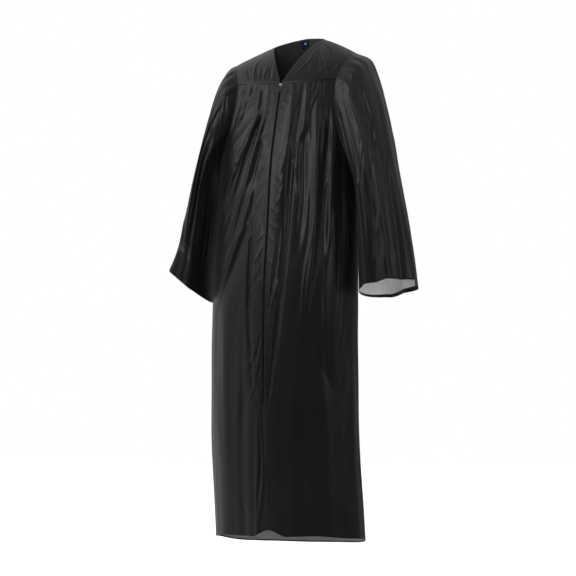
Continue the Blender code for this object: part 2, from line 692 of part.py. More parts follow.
def gather(share, along_ring, length):
    """The small upright gathers round the top of the sleeve."""
    from_top = min(along_ring, 1 - along_ring) * length
    top_only = 1 - fade(GATHER_SPAN - GATHER_SPAN_FADE, GATHER_SPAN + GATHER_SPAN_FADE, from_top)
    reach = fade(0, GATHER_FULL, share) * (1 - fade(GATHER_FULL, GATHER_END, share))
    return GATHER_HEIGHT * reach * top_only * math.cos(math.pi * GATHER_COUNT * from_top / GATHER_SPAN)


def material(name, colour, roughness, metallic=0.0, sheen=0.0):
    """A Principled material with the piece's own finish."""
    made = bpy.data.materials.new(name)
    made.use_nodes = True
    shader = made.node_tree.nodes["Principled BSDF"]
    shader.inputs["Base Color"].default_value = (*colour, 1)
    shader.inputs["Roughness"].default_value = roughness
    shader.inputs["Metallic"].default_value = metallic
    shader.inputs["Sheen Weight"].default_value = sheen
    made.diffuse_color = (*colour, 1)
    return made


def satin(piece):
    return material("Satin " + piece, SATIN, 0.3, sheen=0.3)


def place_in(collection, obj, finish):
    collection.objects.link(obj)
    obj.data.materials.append(finish)
    return obj


def cloth_wall(collection, name, grid, finish, closed=False, flip=False, hem=True, wall=CLOTH):
    """A sheet through the rows of a grid, given its thickness inwards, thicker along a turned hem."""
    mesh = bpy.data.meshes.new(name)
    wide = len(grid[0])
    points = [point for row in grid for point in row]
    faces = []
    for i in range(len(grid) - 1):
        for j in range(wide if closed else wide - 1):
            k = (j + 1) % wide
            face = (i * wide + j, i * wide + k, (i + 1) * wide + k, (i + 1) * wide + j)
            faces.append(face[::-1] if flip else face)
    mesh.from_pydata(points, [], faces)
    mesh.shade_smooth()
    obj = place_in(collection, bpy.data.objects.new(name, mesh), finish)
    thick = HEM_CLOTH if hem else wall
    group = obj.vertex_groups.new(name="wall")
    last_row = (len(grid) - 1) * wide
    group.add(range(last_row), wall / thick, "REPLACE")
    group.add(range(last_row, len(points)), 1.0, "REPLACE")
    solid = obj.modifiers.new("Wall", "SOLIDIFY")
    solid.thickness = thick
    solid.offset = -1
    solid.vertex_group = "wall"
    return obj


def front_panel(collection, side, folds, name, finish):
    columns = [i / FRONT_STEPS for i in range(FRONT_STEPS + 1)]
    grid = [[front_point(side, folds, across, row) for across in columns] for row in panel_rows()]
    return cloth_wall(collection, name, grid, finish, flip=side > 0)


def back_panel(collection, finish):
    columns = [2 * i / BACK_STEPS - 1 for i in range(BACK_STEPS + 1)]
    grid = [[back_point(across, row) for across in columns] for row in panel_rows()]
    return cloth_wall(collection, "back", grid, finish)


def sleeve(collection, side, rows, folds, name, finish):
    grid = sleeve_grid(side, rows, folds)
    return cloth_wall(collection, name, grid, finish, closed=True, flip=side < 0)


def zip_rows():
    """Heights of the zip's own rows, those of the fronts down to its end."""
    heights = [front_point(1, (), 0.0, row).z for row in panel_rows()]
    return [z for z in heights if ZIP_BOTTOM < z < SLIDER_Z + SLIDER_TOP] + [ZIP_BOTTOM]


def zip_strip(collection, name, inner, outer, side, depth, thick, top, finish):
    """A strip along the zip, from inner to outer across it, its face at a depth in the cloth."""
    rows = [top] + [z for z in zip_rows() if z < top - ZIP_ROW_LEAST]
    grid = []
    for z in rows:
        edges = []
        for across in (inner, (inner + outer) / 2, outer):
            angle = math.degrees(math.asin(across / body_value("half_width", z)))
            point, out, radius = body_frame(side * angle, z)
            edges.append(point - out * depth)
        grid.append(edges)
    return cloth_wall(collection, name, grid, finish, flip=side > 0, hem=False, wall=thick)


def zip_frame():
    """Place and tilt of the slider on the zip's line."""
    upper = body_frame(0, SLIDER_Z + SLIDER_TOP)[0]
    lower = body_frame(0, SLIDER_Z - PULL_LENGTH)[0]
    tilt = math.atan2(upper.y - lower.y, upper.z - lower.z)
    return Matrix.Translation(body_frame(0, SLIDER_Z)[0]) @ Matrix.Rotation(-tilt, 4, "X")


def box(name, low, high):
    """A plain block between two corners."""
    made = bmesh.new()
    bmesh.ops.create_cube(made, size=1)
    size = Vector(high) - Vector(low)
    bmesh.ops.scale(made, vec=size, verts=made.verts)
    bmesh.ops.translate(made, vec=(Vector(high) + Vector(low)) / 2, verts=made.verts)
    mesh = bpy.data.meshes.new(name)
    made.to_mesh(mesh)
    made.free()
    return bpy.data.objects.new(name, mesh)


def cut_or_join(target, other, operation, helpers):
    """A Boolean on the target whose other shape stays out of the render."""
    helpers.objects.link(other)
    other.hide_render = True
    other.display_type = "WIRE"
    other.parent = target
    change = target.modifiers.new(other.name, "BOOLEAN")
    change.operation = operation
    change.object = other


def zip_slider(collection, helpers, finish):
    """Front and back plates held together by the post, with the crown that carries the pull."""
    half = SLIDER_WIDTH / 2
    plate = box("zip_slider", (-half, FRONT_PLATE[0], SLIDER_BOTTOM), (half, FRONT_PLATE[1], SLIDER_TOP))
    body = place_in(collection, plate, finish)
    body.matrix_world = zip_frame()
    post = box(
        "slider_post",
        (-POST_HALF_WIDTH, FRONT_PLATE[1] - PARTS_OVERLAP, POST_BOTTOM),
        (POST_HALF_WIDTH, BACK_PLATE[0] + PARTS_OVERLAP, SLIDER_TOP - PARTS_OVERLAP),
    )
    rear = box("slider_rear", (-half, BACK_PLATE[0], SLIDER_BOTTOM), (half, BACK_PLATE[1], SLIDER_TOP))
    crown = box(
        "slider_crown",
        (-CROWN_HALF_WIDTH, CROWN_OUT, -CROWN_HALF_LENGTH),
        (CROWN_HALF_WIDTH, FRONT_PLATE[0] + PARTS_OVERLAP, CROWN_HALF_LENGTH),
    )
    inside = CROWN_HALF_LENGTH - CROWN_WALL
    eye = box(
        "slider_eye",
        (-SLIDER_WIDTH, CROWN_OUT + CROWN_WALL, -inside),
        (SLIDER_WIDTH, FRONT_PLATE[0], inside),
    )
    for part, operation in ((post, "UNION"), (rear, "UNION"), (crown, "UNION"), (eye, "DIFFERENCE")):
        cut_or_join(body, part, operation, helpers)
    return body


def zip_pull_tab(collection, finish):
    """A flat tab with a square eye round the crown, its origin on the bar that it swings on."""
    outline = bpy.data.curves.new("zip_pull_tab", "CURVE")
    outline.dimensions = "2D"
    outline.fill_mode = "BOTH"
    outline.extrude = PULL_HALF_THICKNESS
    top = PULL_HALF_THICKNESS
    middle = PULL_HALF_WIDTH - PULL_LENGTH
    end = [(PULL_HALF_WIDTH, top)]
    for i in range(PULL_ROUND_STEPS + 1):
        turn = math.pi * i / PULL_ROUND_STEPS
        end.append((PULL_HALF_WIDTH * math.cos(turn), middle - PULL_HALF_WIDTH * math.sin(turn)))
    end.append((-PULL_HALF_WIDTH, top))
    eye = [
        (-PULL_EYE_HALF_WIDTH, -top),
        (PULL_EYE_HALF_WIDTH, -top),
        (PULL_EYE_HALF_WIDTH, PULL_EYE_BOTTOM),
        (-PULL_EYE_HALF_WIDTH, PULL_EYE_BOTTOM),
    ]
    for corners in (end, eye):
        spline = outline.splines.new("POLY")
        spline.points.add(len(corners) - 1)
        spline.use_cyclic_u = True
        for point, (x, y) in zip(spline.points, corners):
            point.co = (x, y, 0, 1)
    tab = place_in(collection, bpy.data.objects.new("zip_pull_tab", outline), finish)
    pivot = Matrix.Translation((0, PIVOT_OUT, 0))
    tab.matrix_world = zip_frame() @ pivot @ Matrix.Rotation(math.pi / 2, 4, "X")
    return tab


def neck_label(collection, finish):
    """A small woven label on the inner face of the back yoke, just under the neck edge."""
    patch = yoke_back_grid()
    shares = [i / LABEL_STEPS for i in range(LABEL_STEPS + 1)]
    xs = [LABEL_CENTRE_X + LABEL_HALF_WIDTH * (2 * share - 1) for share in shares]
    downs = [LABEL_DOWN + LABEL_HEIGHT * share for share in shares]
    rows = [[on_back_yoke(patch, x, down) for x in xs] for down in downs]
    return cloth_wall(collection, "neck_label", rows, finish, hem=False, wall=LABEL_THICKNESS)


def on_back_yoke(patch, x, down):
    """The point just inside the back yoke at a distance down from the neck edge."""
    column = min(range(1, len(patch[0]) - 1), key=lambda j: abs(patch[0][j].x - x))
    other = column + (1 if patch[0][column].x < x else -1)
    share = (x - patch[0][column].x) / (patch[0][other].x - patch[0][column].x)
    line = [row[column].lerp(row[other], share) for row in patch]
    length = 0.0
    for a, b in zip(line, line[1:]):
        step = (b - a).length
        if length + step >= down:
            point = a.lerp(b, (down - length) / step)
            along = (b - a).normalized()
            inward = Vector((1, 0, 0)).cross(along).normalized()
            if inward.y > 0:
                inward = -inward
            return point + inward * (CLOTH + 2 * SEAM_GAP)
        length += step
    return line[-1]


def main():
    for obj in list(bpy.data.objects):
        bpy.data.objects.remove(obj)
    gown = bpy.data.collections.new("Graduation gown")
    helpers = bpy.data.collections.new("Cutters")
    bpy.context.scene.collection.children.link(gown)
    bpy.context.scene.collection.children.link(helpers)
    for name, side, folds, rows, sleeve_folds in (
        ("left", 1, FRONT_LEFT_FOLDS, SLEEVE_LEFT_ROWS, SLEEVE_LEFT_FOLDS),
        ("right", -1, FRONT_RIGHT_FOLDS, SLEEVE_RIGHT_ROWS, SLEEVE_RIGHT_FOLDS),
    ):
        front_panel(gown, side, folds, "front_" + name, satin("front " + name))
        grid = yoke_front_grid(side)
        cloth_wall(gown, "yoke_front_" + name, grid, satin("yoke " + name), flip=side > 0, hem=False)
        sleeve(gown, side, rows, sleeve_folds, "sleeve_" + name, satin("sleeve " + name))
        tape = material("Zip tape " + name, TAPE_BLACK, 0.8)
        strip = ("zip_tape_" + name, TAPE_INNER, TAPE_OUTER, side, CLOTH + SEAM_GAP, TAPE_THICKNESS)
        zip_strip(gown, *strip, SLIDER_Z + SLIDER_TOP, tape)
    back_panel(gown, satin("back"))
    cloth_wall(gown, "yoke_back", yoke_back_grid(), satin("yoke back"), hem=False)
    thick = TEETH_DEPTH[1] - TEETH_DEPTH[0]
    strip = ("zip_teeth", -TEETH_HALF_WIDTH, TEETH_HALF_WIDTH, 1, TEETH_DEPTH[0], thick)
    zip_strip(gown, *strip, SLIDER_Z + POST_BOTTOM - SEAM_GAP, material("Zip coil", TAPE_BLACK, 0.5))
    zip_slider(gown, helpers, material("Slider metal", STEEL, 0.35, metallic=1.0))
    zip_pull_tab(gown, material("Pull tab enamel", BLACK_ENAMEL, 0.4, metallic=0.6))
    neck_label(gown, material("Label weave", NAVY, 0.7))


main()
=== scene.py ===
"""Looks of a graduation gown: black satin panels, yokes and bell sleeves as thin shells with their folds,
puckers and stitching, the front zip, the neck label, and a pale studio.

Everything is in metres in the model's own frame: +Z up, the front faces -Y, the wearer's left is +X.
Angles round the body are in degrees: 0 is centre front, 90 the wearer's left side, -90 the right side.
"""

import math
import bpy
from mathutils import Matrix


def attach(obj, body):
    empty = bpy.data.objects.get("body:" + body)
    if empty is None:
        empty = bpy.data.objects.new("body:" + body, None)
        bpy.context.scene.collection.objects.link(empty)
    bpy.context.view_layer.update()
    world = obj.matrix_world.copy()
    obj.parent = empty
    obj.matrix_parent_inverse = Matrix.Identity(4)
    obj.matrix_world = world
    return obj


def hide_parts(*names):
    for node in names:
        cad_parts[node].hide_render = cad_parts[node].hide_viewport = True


bl_info = {
    "name": "Graduation Gown",
    "version": (1, 0, 0),
    "blender": (4, 5, 0),
    "location": "View3D > Sidebar > Gown",
    "description": "Builds the cloth, stitching, zip and studio of a graduation gown",
    "category": "Object",
}

import bpy
import numpy as np
from bpy.props import FloatProperty, FloatVectorProperty, IntProperty, PointerProperty
from mathutils import Matrix, Vector

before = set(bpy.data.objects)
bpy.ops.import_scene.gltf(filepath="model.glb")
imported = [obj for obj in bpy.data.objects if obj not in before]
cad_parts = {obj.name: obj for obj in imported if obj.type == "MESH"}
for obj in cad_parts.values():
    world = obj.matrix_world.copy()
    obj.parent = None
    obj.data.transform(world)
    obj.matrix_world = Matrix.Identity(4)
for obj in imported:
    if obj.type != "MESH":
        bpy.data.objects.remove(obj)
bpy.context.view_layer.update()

# Heights of the main seams
YOKE_SEAM_CENTRE = -0.125
YOKE_SEAM_END = -0.118
YOKE_END_ANGLE = 45.5
UNDERARM_Z = -0.345
ARMHOLE_CURVE = 2.3

# Hem: the fronts end a little above the back, with a notch at the centre-front seam
HEM_COLUMNS = "angle z"
HEM_ROWS = (
    (0, -1.338),
    (35, -1.335),
    (60, -1.341),
    (90, -1.346),
    (130, -1.360),
    (180, -1.364),
)
NOTCH_HEIGHT = 0.018
NOTCH_WIDTH = 0.050

# Neck and shoulders
NECK_SIDE_LEFT = (0.075, 0.010, 0.006)
NECK_SIDE_RIGHT = (-0.072, 0.010, -0.006)
NECK_BACK = (0.0, 0.066, 0.022)
NECK_SHARE = 0.40
SHOULDER_LEFT = (0.168, 0.006, -0.038)
SHOULDER_RIGHT = (-0.168, 0.006, -0.046)
SHOULDER_RISE_LEFT = 0.003
SHOULDER_RISE_RIGHT = 0.001

# Zip
ZIP_HALF_GAP = 0.0026
ZIP_BOTTOM = -0.985
ZIP_CLOSE = 0.012
SLIDER_Z = -0.1345

# Body: one row for each level of the cloth tube
BODY_COLUMNS = "z centre_x centre_y half_width front_depth back_depth"
BODY_ROWS = (
    (-0.118, 0.000, -0.008, 0.200, 0.110, 0.085),
    (-0.250, -0.008, -0.018, 0.200, 0.128, 0.096),
    (-0.350, -0.013, -0.025, 0.198, 0.138, 0.102),
    (-0.520, -0.016, -0.032, 0.200, 0.148, 0.110),
    (-0.700, -0.021, -0.038, 0.205, 0.153, 0.115),
    (-0.980, -0.022, -0.040, 0.207, 0.154, 0.118),
    (-1.370, -0.004, -0.040, 0.209, 0.156, 0.120),
)

# Large folds: ridge (+) or groove (-), from top to bottom, angles away from the panel's centre
FOLD_COLUMNS = "top_z bottom_z top_angle mid_angle bottom_angle half_width height"
FOLD_RISE = 0.22
FOLD_FALL = 0.62
RUNS_OUT_Z = -1.30
LOW_FOLD_SHARE = 0.45
LOW_FOLD_HEIGHTS = (-0.95, -0.62)
FRONT_LEFT_FOLDS = (
    (-0.120, -0.560, 13.5, 11.0, 7.0, 0.026, 0.0085),
    (-0.120, -1.020, 17.0, 15.0, 4.5, 0.012, -0.0065),
    (-0.120, -0.300, 22.0, 23.0, 24.0, 0.014, 0.0050),
    (-0.250, -0.620, 24.0, 27.5, 23.0, 0.016, -0.0060),
    (-0.120, -0.900, 29.0, 37.5, 25.0, 0.016, 0.0075),
    (-0.120, -0.720, 42.5, 46.5, 37.0, 0.020, -0.0085),
    (-0.120, -0.760, 42.0, 51.0, 41.0, 0.009, 0.0035),
    (-0.160, -0.640, 56.0, 62.0, 60.0, 0.024, -0.0060),
    (-0.450, -1.060, 55.0, 56.0, 58.0, 0.026, 0.0090),
    (-0.760, -1.360, 44.0, 36.0, 34.0, 0.020, -0.0060),
    (-0.700, -1.360, 76.0, 66.0, 60.0, 0.022, -0.0060),
    (-0.900, -1.360, 22.0, 22.0, 20.0, 0.030, 0.0050),
    (-0.900, -1.360, 47.0, 50.0, 48.0, 0.026, 0.0070),
    (-0.820, -1.360, 80.0, 80.0, 78.0, 0.026, 0.0060),
)
FRONT_RIGHT_FOLDS = (
    (-0.120, -0.300, 16.5, 15.5, 14.0, 0.008, -0.0050),
    (-0.125, -0.520, 5.5, 29.0, 58.0, 0.013, 0.0065),
    (-0.140, -0.560, 9.0, 26.0, 52.0, 0.011, -0.0060),
    (-0.160, -0.620, 8.0, 21.0, 44.0, 0.012, 0.0055),
    (-0.240, -0.640, 9.0, 19.0, 36.0, 0.012, -0.0055),
    (-0.120, -0.260, 27.0, 33.0, 41.0, 0.014, 0.0060),
    (-0.120, -0.280, 36.0, 42.0, 50.0, 0.010, -0.0050),
    (-0.360, -0.760, 15.0, 27.0, 56.0, 0.020, 0.0080),
    (-0.480, -1.000, 13.0, 12.5, 7.5, 0.012, -0.0060),
    (-0.620, -1.360, 34.0, 38.0, 40.0, 0.050, 0.0080),
    (-0.980, -1.360, 2.5, 6.0, 9.5, 0.011, 0.0050),
    (-0.900, -1.360, 15.0, 19.0, 20.0, 0.022, -0.0060),
    (-0.700, -1.360, 66.0, 64.0, 66.0, 0.026, -0.0060),
)
BACK_FOLDS = (
    (-0.125, -1.370, 0.0, 1.5, -1.0, 0.022, 0.0070),
    (-0.125, -0.900, 9.0, 11.0, 14.0, 0.016, -0.0070),
    (-0.125, -1.370, 17.0, 22.0, 26.0, 0.021, 0.0080),
    (-0.125, -0.760, 26.0, 31.0, 36.0, 0.014, -0.0070),
    (-0.125, -1.200, 33.0, 40.0, 46.0, 0.018, 0.0075),
    (-0.140, -1.000, 41.0, 50.0, 57.0, 0.016, -0.0060),
    (-0.125, -1.000, -8.0, -10.0, -12.0, 0.017, -0.0070),
    (-0.125, -1.370, -16.0, -20.0, -24.0, 0.020, 0.0075),
    (-0.125, -0.820, -24.0, -29.0, -33.0, 0.015, -0.0065),
    (-0.125, -1.370, -32.0, -38.0, -43.0, 0.019, 0.0080),
    (-0.140, -0.900, -40.0, -48.0, -54.0, 0.016, -0.0060),
    (-0.700, -1.370, 62.0, 64.0, 66.0, 0.026, 0.0070),
    (-0.760, -1.370, -60.0, -63.0, -66.0, 0.026, 0.0070),
    (-0.800, -1.370, 36.0, 37.0, 37.0, 0.022, -0.0060),
    (-0.820, -1.370, -33.0, -33.0, -34.0, 0.022, -0.0060),
)
PLAIN_EDGE = 0.010
PLAIN_FADE = 0.012
PLAIN_BELOW_ZIP = (0.10, 0.20)
ARMHOLE_CALM = 9.0
UNDERARM_CALM = 0.06
SIDE_CALM_ANGLES = (62.0, 84.0)
SIDE_CALM_HEIGHTS = (-0.80, -0.72)

# Sleeves: one row for each ring, from the armhole to the cuff
SLEEVE_COLUMNS = "along outer_x outer_z inner_x inner_z front_y back_y back_drop"
SLEEVE_LEFT_ROWS = (
    (0.00, 0.168, -0.038, 0.190, -0.345, -0.105, 0.075, 0.000),
    (0.09, 0.212, -0.061, 0.1945, -0.365, -0.122, 0.084, 0.000),
    (0.18, 0.234, -0.105, 0.1960, -0.392, -0.132, 0.084, 0.002),
    (0.34, 0.261, -0.190, 0.1975, -0.440, -0.139, 0.079, 0.004),
    (0.54, 0.291, -0.335, 0.1990, -0.520, -0.141, 0.066, 0.007),
    (0.76, 0.322, -0.470, 0.2000, -0.605, -0.141, 0.052, 0.010),
    (0.90, 0.343, -0.583, 0.2000, -0.660, -0.140, 0.045, 0.012),
    (1.00, 0.355, -0.668, 0.2000, -0.697, -0.138, 0.040, 0.014),
)
SLEEVE_RIGHT_ROWS = (
    (0.00, -0.168, -0.046, -0.206, -0.345, -0.105, 0.075, 0.000),
    (0.09, -0.195, -0.062, -0.2140, -0.365, -0.120, 0.082, 0.000),
    (0.18, -0.212, -0.098, -0.2180, -0.392, -0.128, 0.082, 0.002),
    (0.34, -0.225, -0.180, -0.2230, -0.440, -0.134, 0.078, 0.004),
    (0.54, -0.258, -0.320, -0.2310, -0.520, -0.138, 0.066, 0.007),
    (0.76, -0.293, -0.470, -0.2400, -0.610, -0.140, 0.052, 0.010),
    (0.88, -0.312, -0.545, -0.2430, -0.665, -0.140, 0.045, 0.012),
    (1.00, -0.350, -0.620, -0.2440, -0.706, -0.138, 0.038, 0.014),
)
OVAL_SHARE = 0.45
EVEN_SHARES = (0.1, 0.8)
SLEEVE_FOLD_COLUMNS = "top bottom top_around mid_around bottom_around half_width height"
SLEEVE_FOLD_RISE = 0.3
SLEEVE_FOLD_FALL = 0.6
SLEEVE_LEFT_FOLDS = (
    (0.06, 0.80, 62.0, 74.0, 84.0, 0.015, 0.0080),
    (0.06, 0.70, 40.0, 50.0, 56.0, 0.018, -0.0070),
    (0.40, 1.00, 50.0, 62.0, 70.0, 0.020, 0.0090),
    (0.45, 1.00, 80.0, 88.0, 94.0, 0.020, -0.0080),
    (0.50, 1.00, 30.0, 36.0, 40.0, 0.020, -0.0080),
    (0.10, 1.00, 8.0, 12.0, 14.0, 0.026, 0.0080),
    (0.10, 1.00, -22.0, -20.0, -18.0, 0.024, -0.0070),
    (0.10, 1.00, -50.0, -50.0, -48.0, 0.028, 0.0090),
    (0.20, 1.00, -80.0, -78.0, -76.0, 0.024, -0.0080),
    (0.20, 1.00, -108.0, -106.0, -104.0, 0.024, 0.0080),
    (0.30, 1.00, 112.0, 114.0, 116.0, 0.022, 0.0080),
)
SLEEVE_RIGHT_FOLDS = (
    (0.06, 0.95, 64.0, 74.0, 82.0, 0.014, 0.0080),
    (0.06, 0.80, 46.0, 58.0, 66.0, 0.015, -0.0070),
    (0.10, 0.90, 28.0, 38.0, 46.0, 0.018, 0.0080),
    (0.20, 0.90, 88.0, 96.0, 100.0, 0.016, -0.0070),
    (0.62, 1.00, 20.0, 30.0, 46.0, 0.022, -0.0080),
    (0.70, 1.00, 52.0, 60.0, 66.0, 0.022, 0.0080),
    (0.10, 1.00, 6.0, 4.0, 0.0, 0.022, -0.0060),
    (0.10, 1.00, -20.0, -20.0, -18.0, 0.026, 0.0080),
    (0.10, 1.00, -48.0, -48.0, -48.0, 0.024, -0.0080),
    (0.20, 1.00, -76.0, -76.0, -74.0, 0.026, 0.0090),
    (0.20, 1.00, -104.0, -104.0, -102.0, 0.024, -0.0080),
    (0.30, 1.00, 114.0, 116.0, 118.0, 0.022, 0.0080),
)
GATHER_COUNT = 9
GATHER_SPAN = 0.150
GATHER_SPAN_FADE = 0.015
GATHER_HEIGHT = 0.0034
GATHER_FULL = 0.055
GATHER_END = 0.26
BODY_CLEARANCE = 0.005
CLEARANCE_SHARE = 0.06
PLEAT_STEP = 5.4
PLEAT_HEIGHT = 0.0016
PLEAT_FULL = 0.02
PLEAT_FADE = 0.03
PLEAT_END = 0.11

# Hem and seam details
HEM_DEPTH = 0.018
HEM_RIDGE = 0.0002
LAP = 0.0036
LAP_OUT = 0.0011
TUCK = 0.0045

# Zip
TEETH_HALF_WIDTH = 0.0021
TEETH_DEPTH = 0.0015
TEETH_STEP = 0.0015
TAPE_INNER = 0.0024
TAPE_OUTER = 0.0140
TAPE_DEPTH = 0.0014
TAPE_MIDDLE = 0.0001
TAPE_STEP_BACK = 0.0016
TAPE_BELOW = 0.015
SLIDER_TOP = 0.0045
PIVOT_OUT = -0.00275
PULL_LENGTH = 0.0200

# Label inside the back neck
LABEL_CENTRE_X = -0.008
LABEL_HALF_WIDTH = 0.011
LABEL_DOWN = 0.0035
LABEL_HEIGHT = 0.022

# Puckers beside the zip: how far apart, how long, how high, and how much they slant
PUCKER_STEP = 0.021
PUCKER_LENGTH = (0.016, 0.050)
PUCKER_HEIGHT = (0.0003, 0.0009)
PUCKER_SLANT = (1.2, 2.4)
PUCKER_SEED = 7

# Slow unevenness of all the cloth
UNEVEN_HEIGHT = 0.0009

# Lengths of cloth that one unit of each surface's two coordinates stands for, where creases are drawn
BODY_RADIUS = 0.19
SLEEVE_RADIUS = 0.10
SLEEVE_LENGTH = 0.60
YOKE_WIDTH = 0.146
YOKE_BACK_WIDTH = 0.35
YOKE_DROP = 0.13
CREASE_POINTS = 20

# Creases: height and half width in metres, how crisp (0 round, 1 sharp), then its path. On the body the
# path's points are (angle from centre front, z), on a sleeve (degrees round the ring, share of its length).
FRONT_LEFT_CREASES = (
    (0.0050, 0.0120, 0.3, ((60.0, -0.400), (60.0, -0.520), (59.0, -0.640), (57.0, -0.760))),
    (0.0045, 0.0110, 0.3, ((70.0, -0.430), (70.0, -0.560), (68.0, -0.700))),
    (-0.0040, 0.0110, 0.2, ((65.0, -0.410), (65.0, -0.540), (63.5, -0.700))),
    (-0.0012, 0.0035, 0.4, ((8.3, -0.135), (6.3, -0.143), (4.1, -0.154))),
    (0.0008, 0.0060, 0.2, ((9.7, -0.132), (7.5, -0.171), (8.1, -0.237), (6.3, -0.300))),
    (-0.0022, 0.0045, 0.6, (
        (15.3, -0.152), (13.7, -0.209), (14.0, -0.277), (16.0, -0.344), (15.8, -0.411), (14.1, -0.490),
    )),
    (-0.0014, 0.0040, 0.3, ((12.4, -0.279), (9.5, -0.315), (7.1, -0.341), (5.8, -0.365))),
    (0.0018, 0.0050, 0.3, ((13.0, -0.315), (10.8, -0.348), (8.6, -0.378), (4.7, -0.417))),
    (0.0014, 0.0045, 0.3, ((10.8, -0.437), (7.4, -0.453), (4.1, -0.479))),
    (-0.0012, 0.0040, 0.2, ((11.9, -0.395), (8.6, -0.424), (4.7, -0.446))),
    (0.0016, 0.0050, 0.4, ((24.0, -0.125), (20.4, -0.151), (17.2, -0.173))),
    (-0.0014, 0.0045, 0.3, ((27.6, -0.128), (23.8, -0.154), (19.8, -0.176))),
    (0.0024, 0.0080, 0.5, ((32.4, -0.123), (29.8, -0.163), (27.6, -0.191), (28.5, -0.210))),
    (0.0026, 0.0090, 0.7, ((29.6, -0.200), (34.9, -0.310), (36.5, -0.414), (37.6, -0.467), (35.3, -0.536))),
    (0.0018, 0.0050, 0.4, (
        (18.2, -0.250), (17.2, -0.291), (16.5, -0.327), (20.3, -0.378), (23.1, -0.428), (27.0, -0.480),
    )),
    (-0.0045, 0.0200, 0.1, ((22.9, -0.235), (24.6, -0.308), (27.0, -0.368), (28.1, -0.447))),
    (0.0032, 0.0055, 0.8, (
        (35.2, -0.126), (42.2, -0.169), (46.6, -0.215), (48.4, -0.278), (48.2, -0.328), (48.7, -0.388),
        (45.9, -0.441), (45.4, -0.504), (43.7, -0.570), (41.5, -0.642), (36.4, -0.685),
    )),
    (0.0013, 0.0040, 0.5, ((41.3, -0.126), (46.2, -0.179), (48.6, -0.242))),
    (0.0014, 0.0040, 0.4, ((45.9, -0.405), (43.1, -0.454), (42.6, -0.494))),
    (0.0034, 0.0085, 0.6, (
        (38.1, -0.487), (34.8, -0.556), (32.0, -0.619), (30.3, -0.678), (28.6, -0.754), (25.8, -0.804),
    )),
    (-0.0016, 0.0050, 0.3, ((37.6, -0.616), (35.3, -0.662), (34.2, -0.715))),
    (0.0024, 0.0120, 0.3, ((41.5, -0.573), (40.3, -0.616), (38.7, -0.662))),
    (-0.0020, 0.0080, 0.3, ((48.2, -0.471), (48.2, -0.583), (47.6, -0.689), (48.2, -0.795))),
    (0.0060, 0.0190, 0.3, (
        (54.9, -0.458), (54.3, -0.557), (54.3, -0.663), (53.7, -0.769), (54.8, -0.872), (57.1, -0.939),
    )),
    (-0.0022, 0.0060, 0.5, ((64.9, -0.514), (64.9, -0.634), (63.2, -0.767), (59.9, -0.886))),
    (0.0018, 0.0050, 0.4, ((13.6, -0.500), (13.6, -0.583), (11.3, -0.662), (7.4, -0.709), (3.5, -0.762))),
    (-0.0014, 0.0050, 0.3, ((10.8, -0.513), (9.1, -0.615), (5.2, -0.714), (1.8, -0.774))),
    (0.0016, 0.0045, 0.4, ((4.1, -0.482), (6.9, -0.545), (5.2, -0.635), (4.6, -0.687), (3.5, -0.745))),
    (0.0015, 0.0040, 0.6, ((11.3, -0.804), (9.6, -0.885), (6.9, -0.960), (3.9, -1.017))),
    (-0.0016, 0.0040, 0.5, ((9.7, -0.769), (8.0, -0.847), (5.2, -0.942), (2.8, -1.016))),
    (0.0010, 0.0160, 0.1, ((42.6, -0.827), (39.2, -0.890), (34.2, -0.979), (31.5, -1.058))),
    (-0.0010, 0.0120, 0.1, ((45.9, -0.884), (50.9, -0.921), (56.5, -0.959))),
    (0.0014, 0.0100, 0.3, ((82.7, -0.858), (74.9, -0.941), (69.8, -1.043), (63.6, -1.126))),
    (-0.0012, 0.0120, 0.2, ((69.9, -0.927), (62.4, -1.043), (54.0, -1.164))),
    (0.0012, 0.0180, 0.1, ((42.6, -0.979), (42.2, -1.085), (41.1, -1.187), (37.7, -1.292))),
    (-0.0012, 0.0160, 0.1, ((27.6, -1.058), (29.2, -1.111), (32.1, -1.239), (29.8, -1.319))),
    (0.0010, 0.0090, 0.1, ((65.3, -1.216), (64.7, -1.282), (64.7, -1.325))),
    (0.0010, 0.0090, 0.1, ((74.2, -1.190), (72.6, -1.267), (70.9, -1.326))),
    (0.0018, 0.0045, 0.3, ((1.0, -0.833), (2.4, -0.852), (3.6, -0.868))),
    (0.0018, 0.0045, 0.3, ((0.8, -0.876), (2.0, -0.896), (3.0, -0.922))),
    (-0.0014, 0.0040, 0.2, ((0.6, -0.888), (1.6, -0.911), (2.2, -0.936))),
)
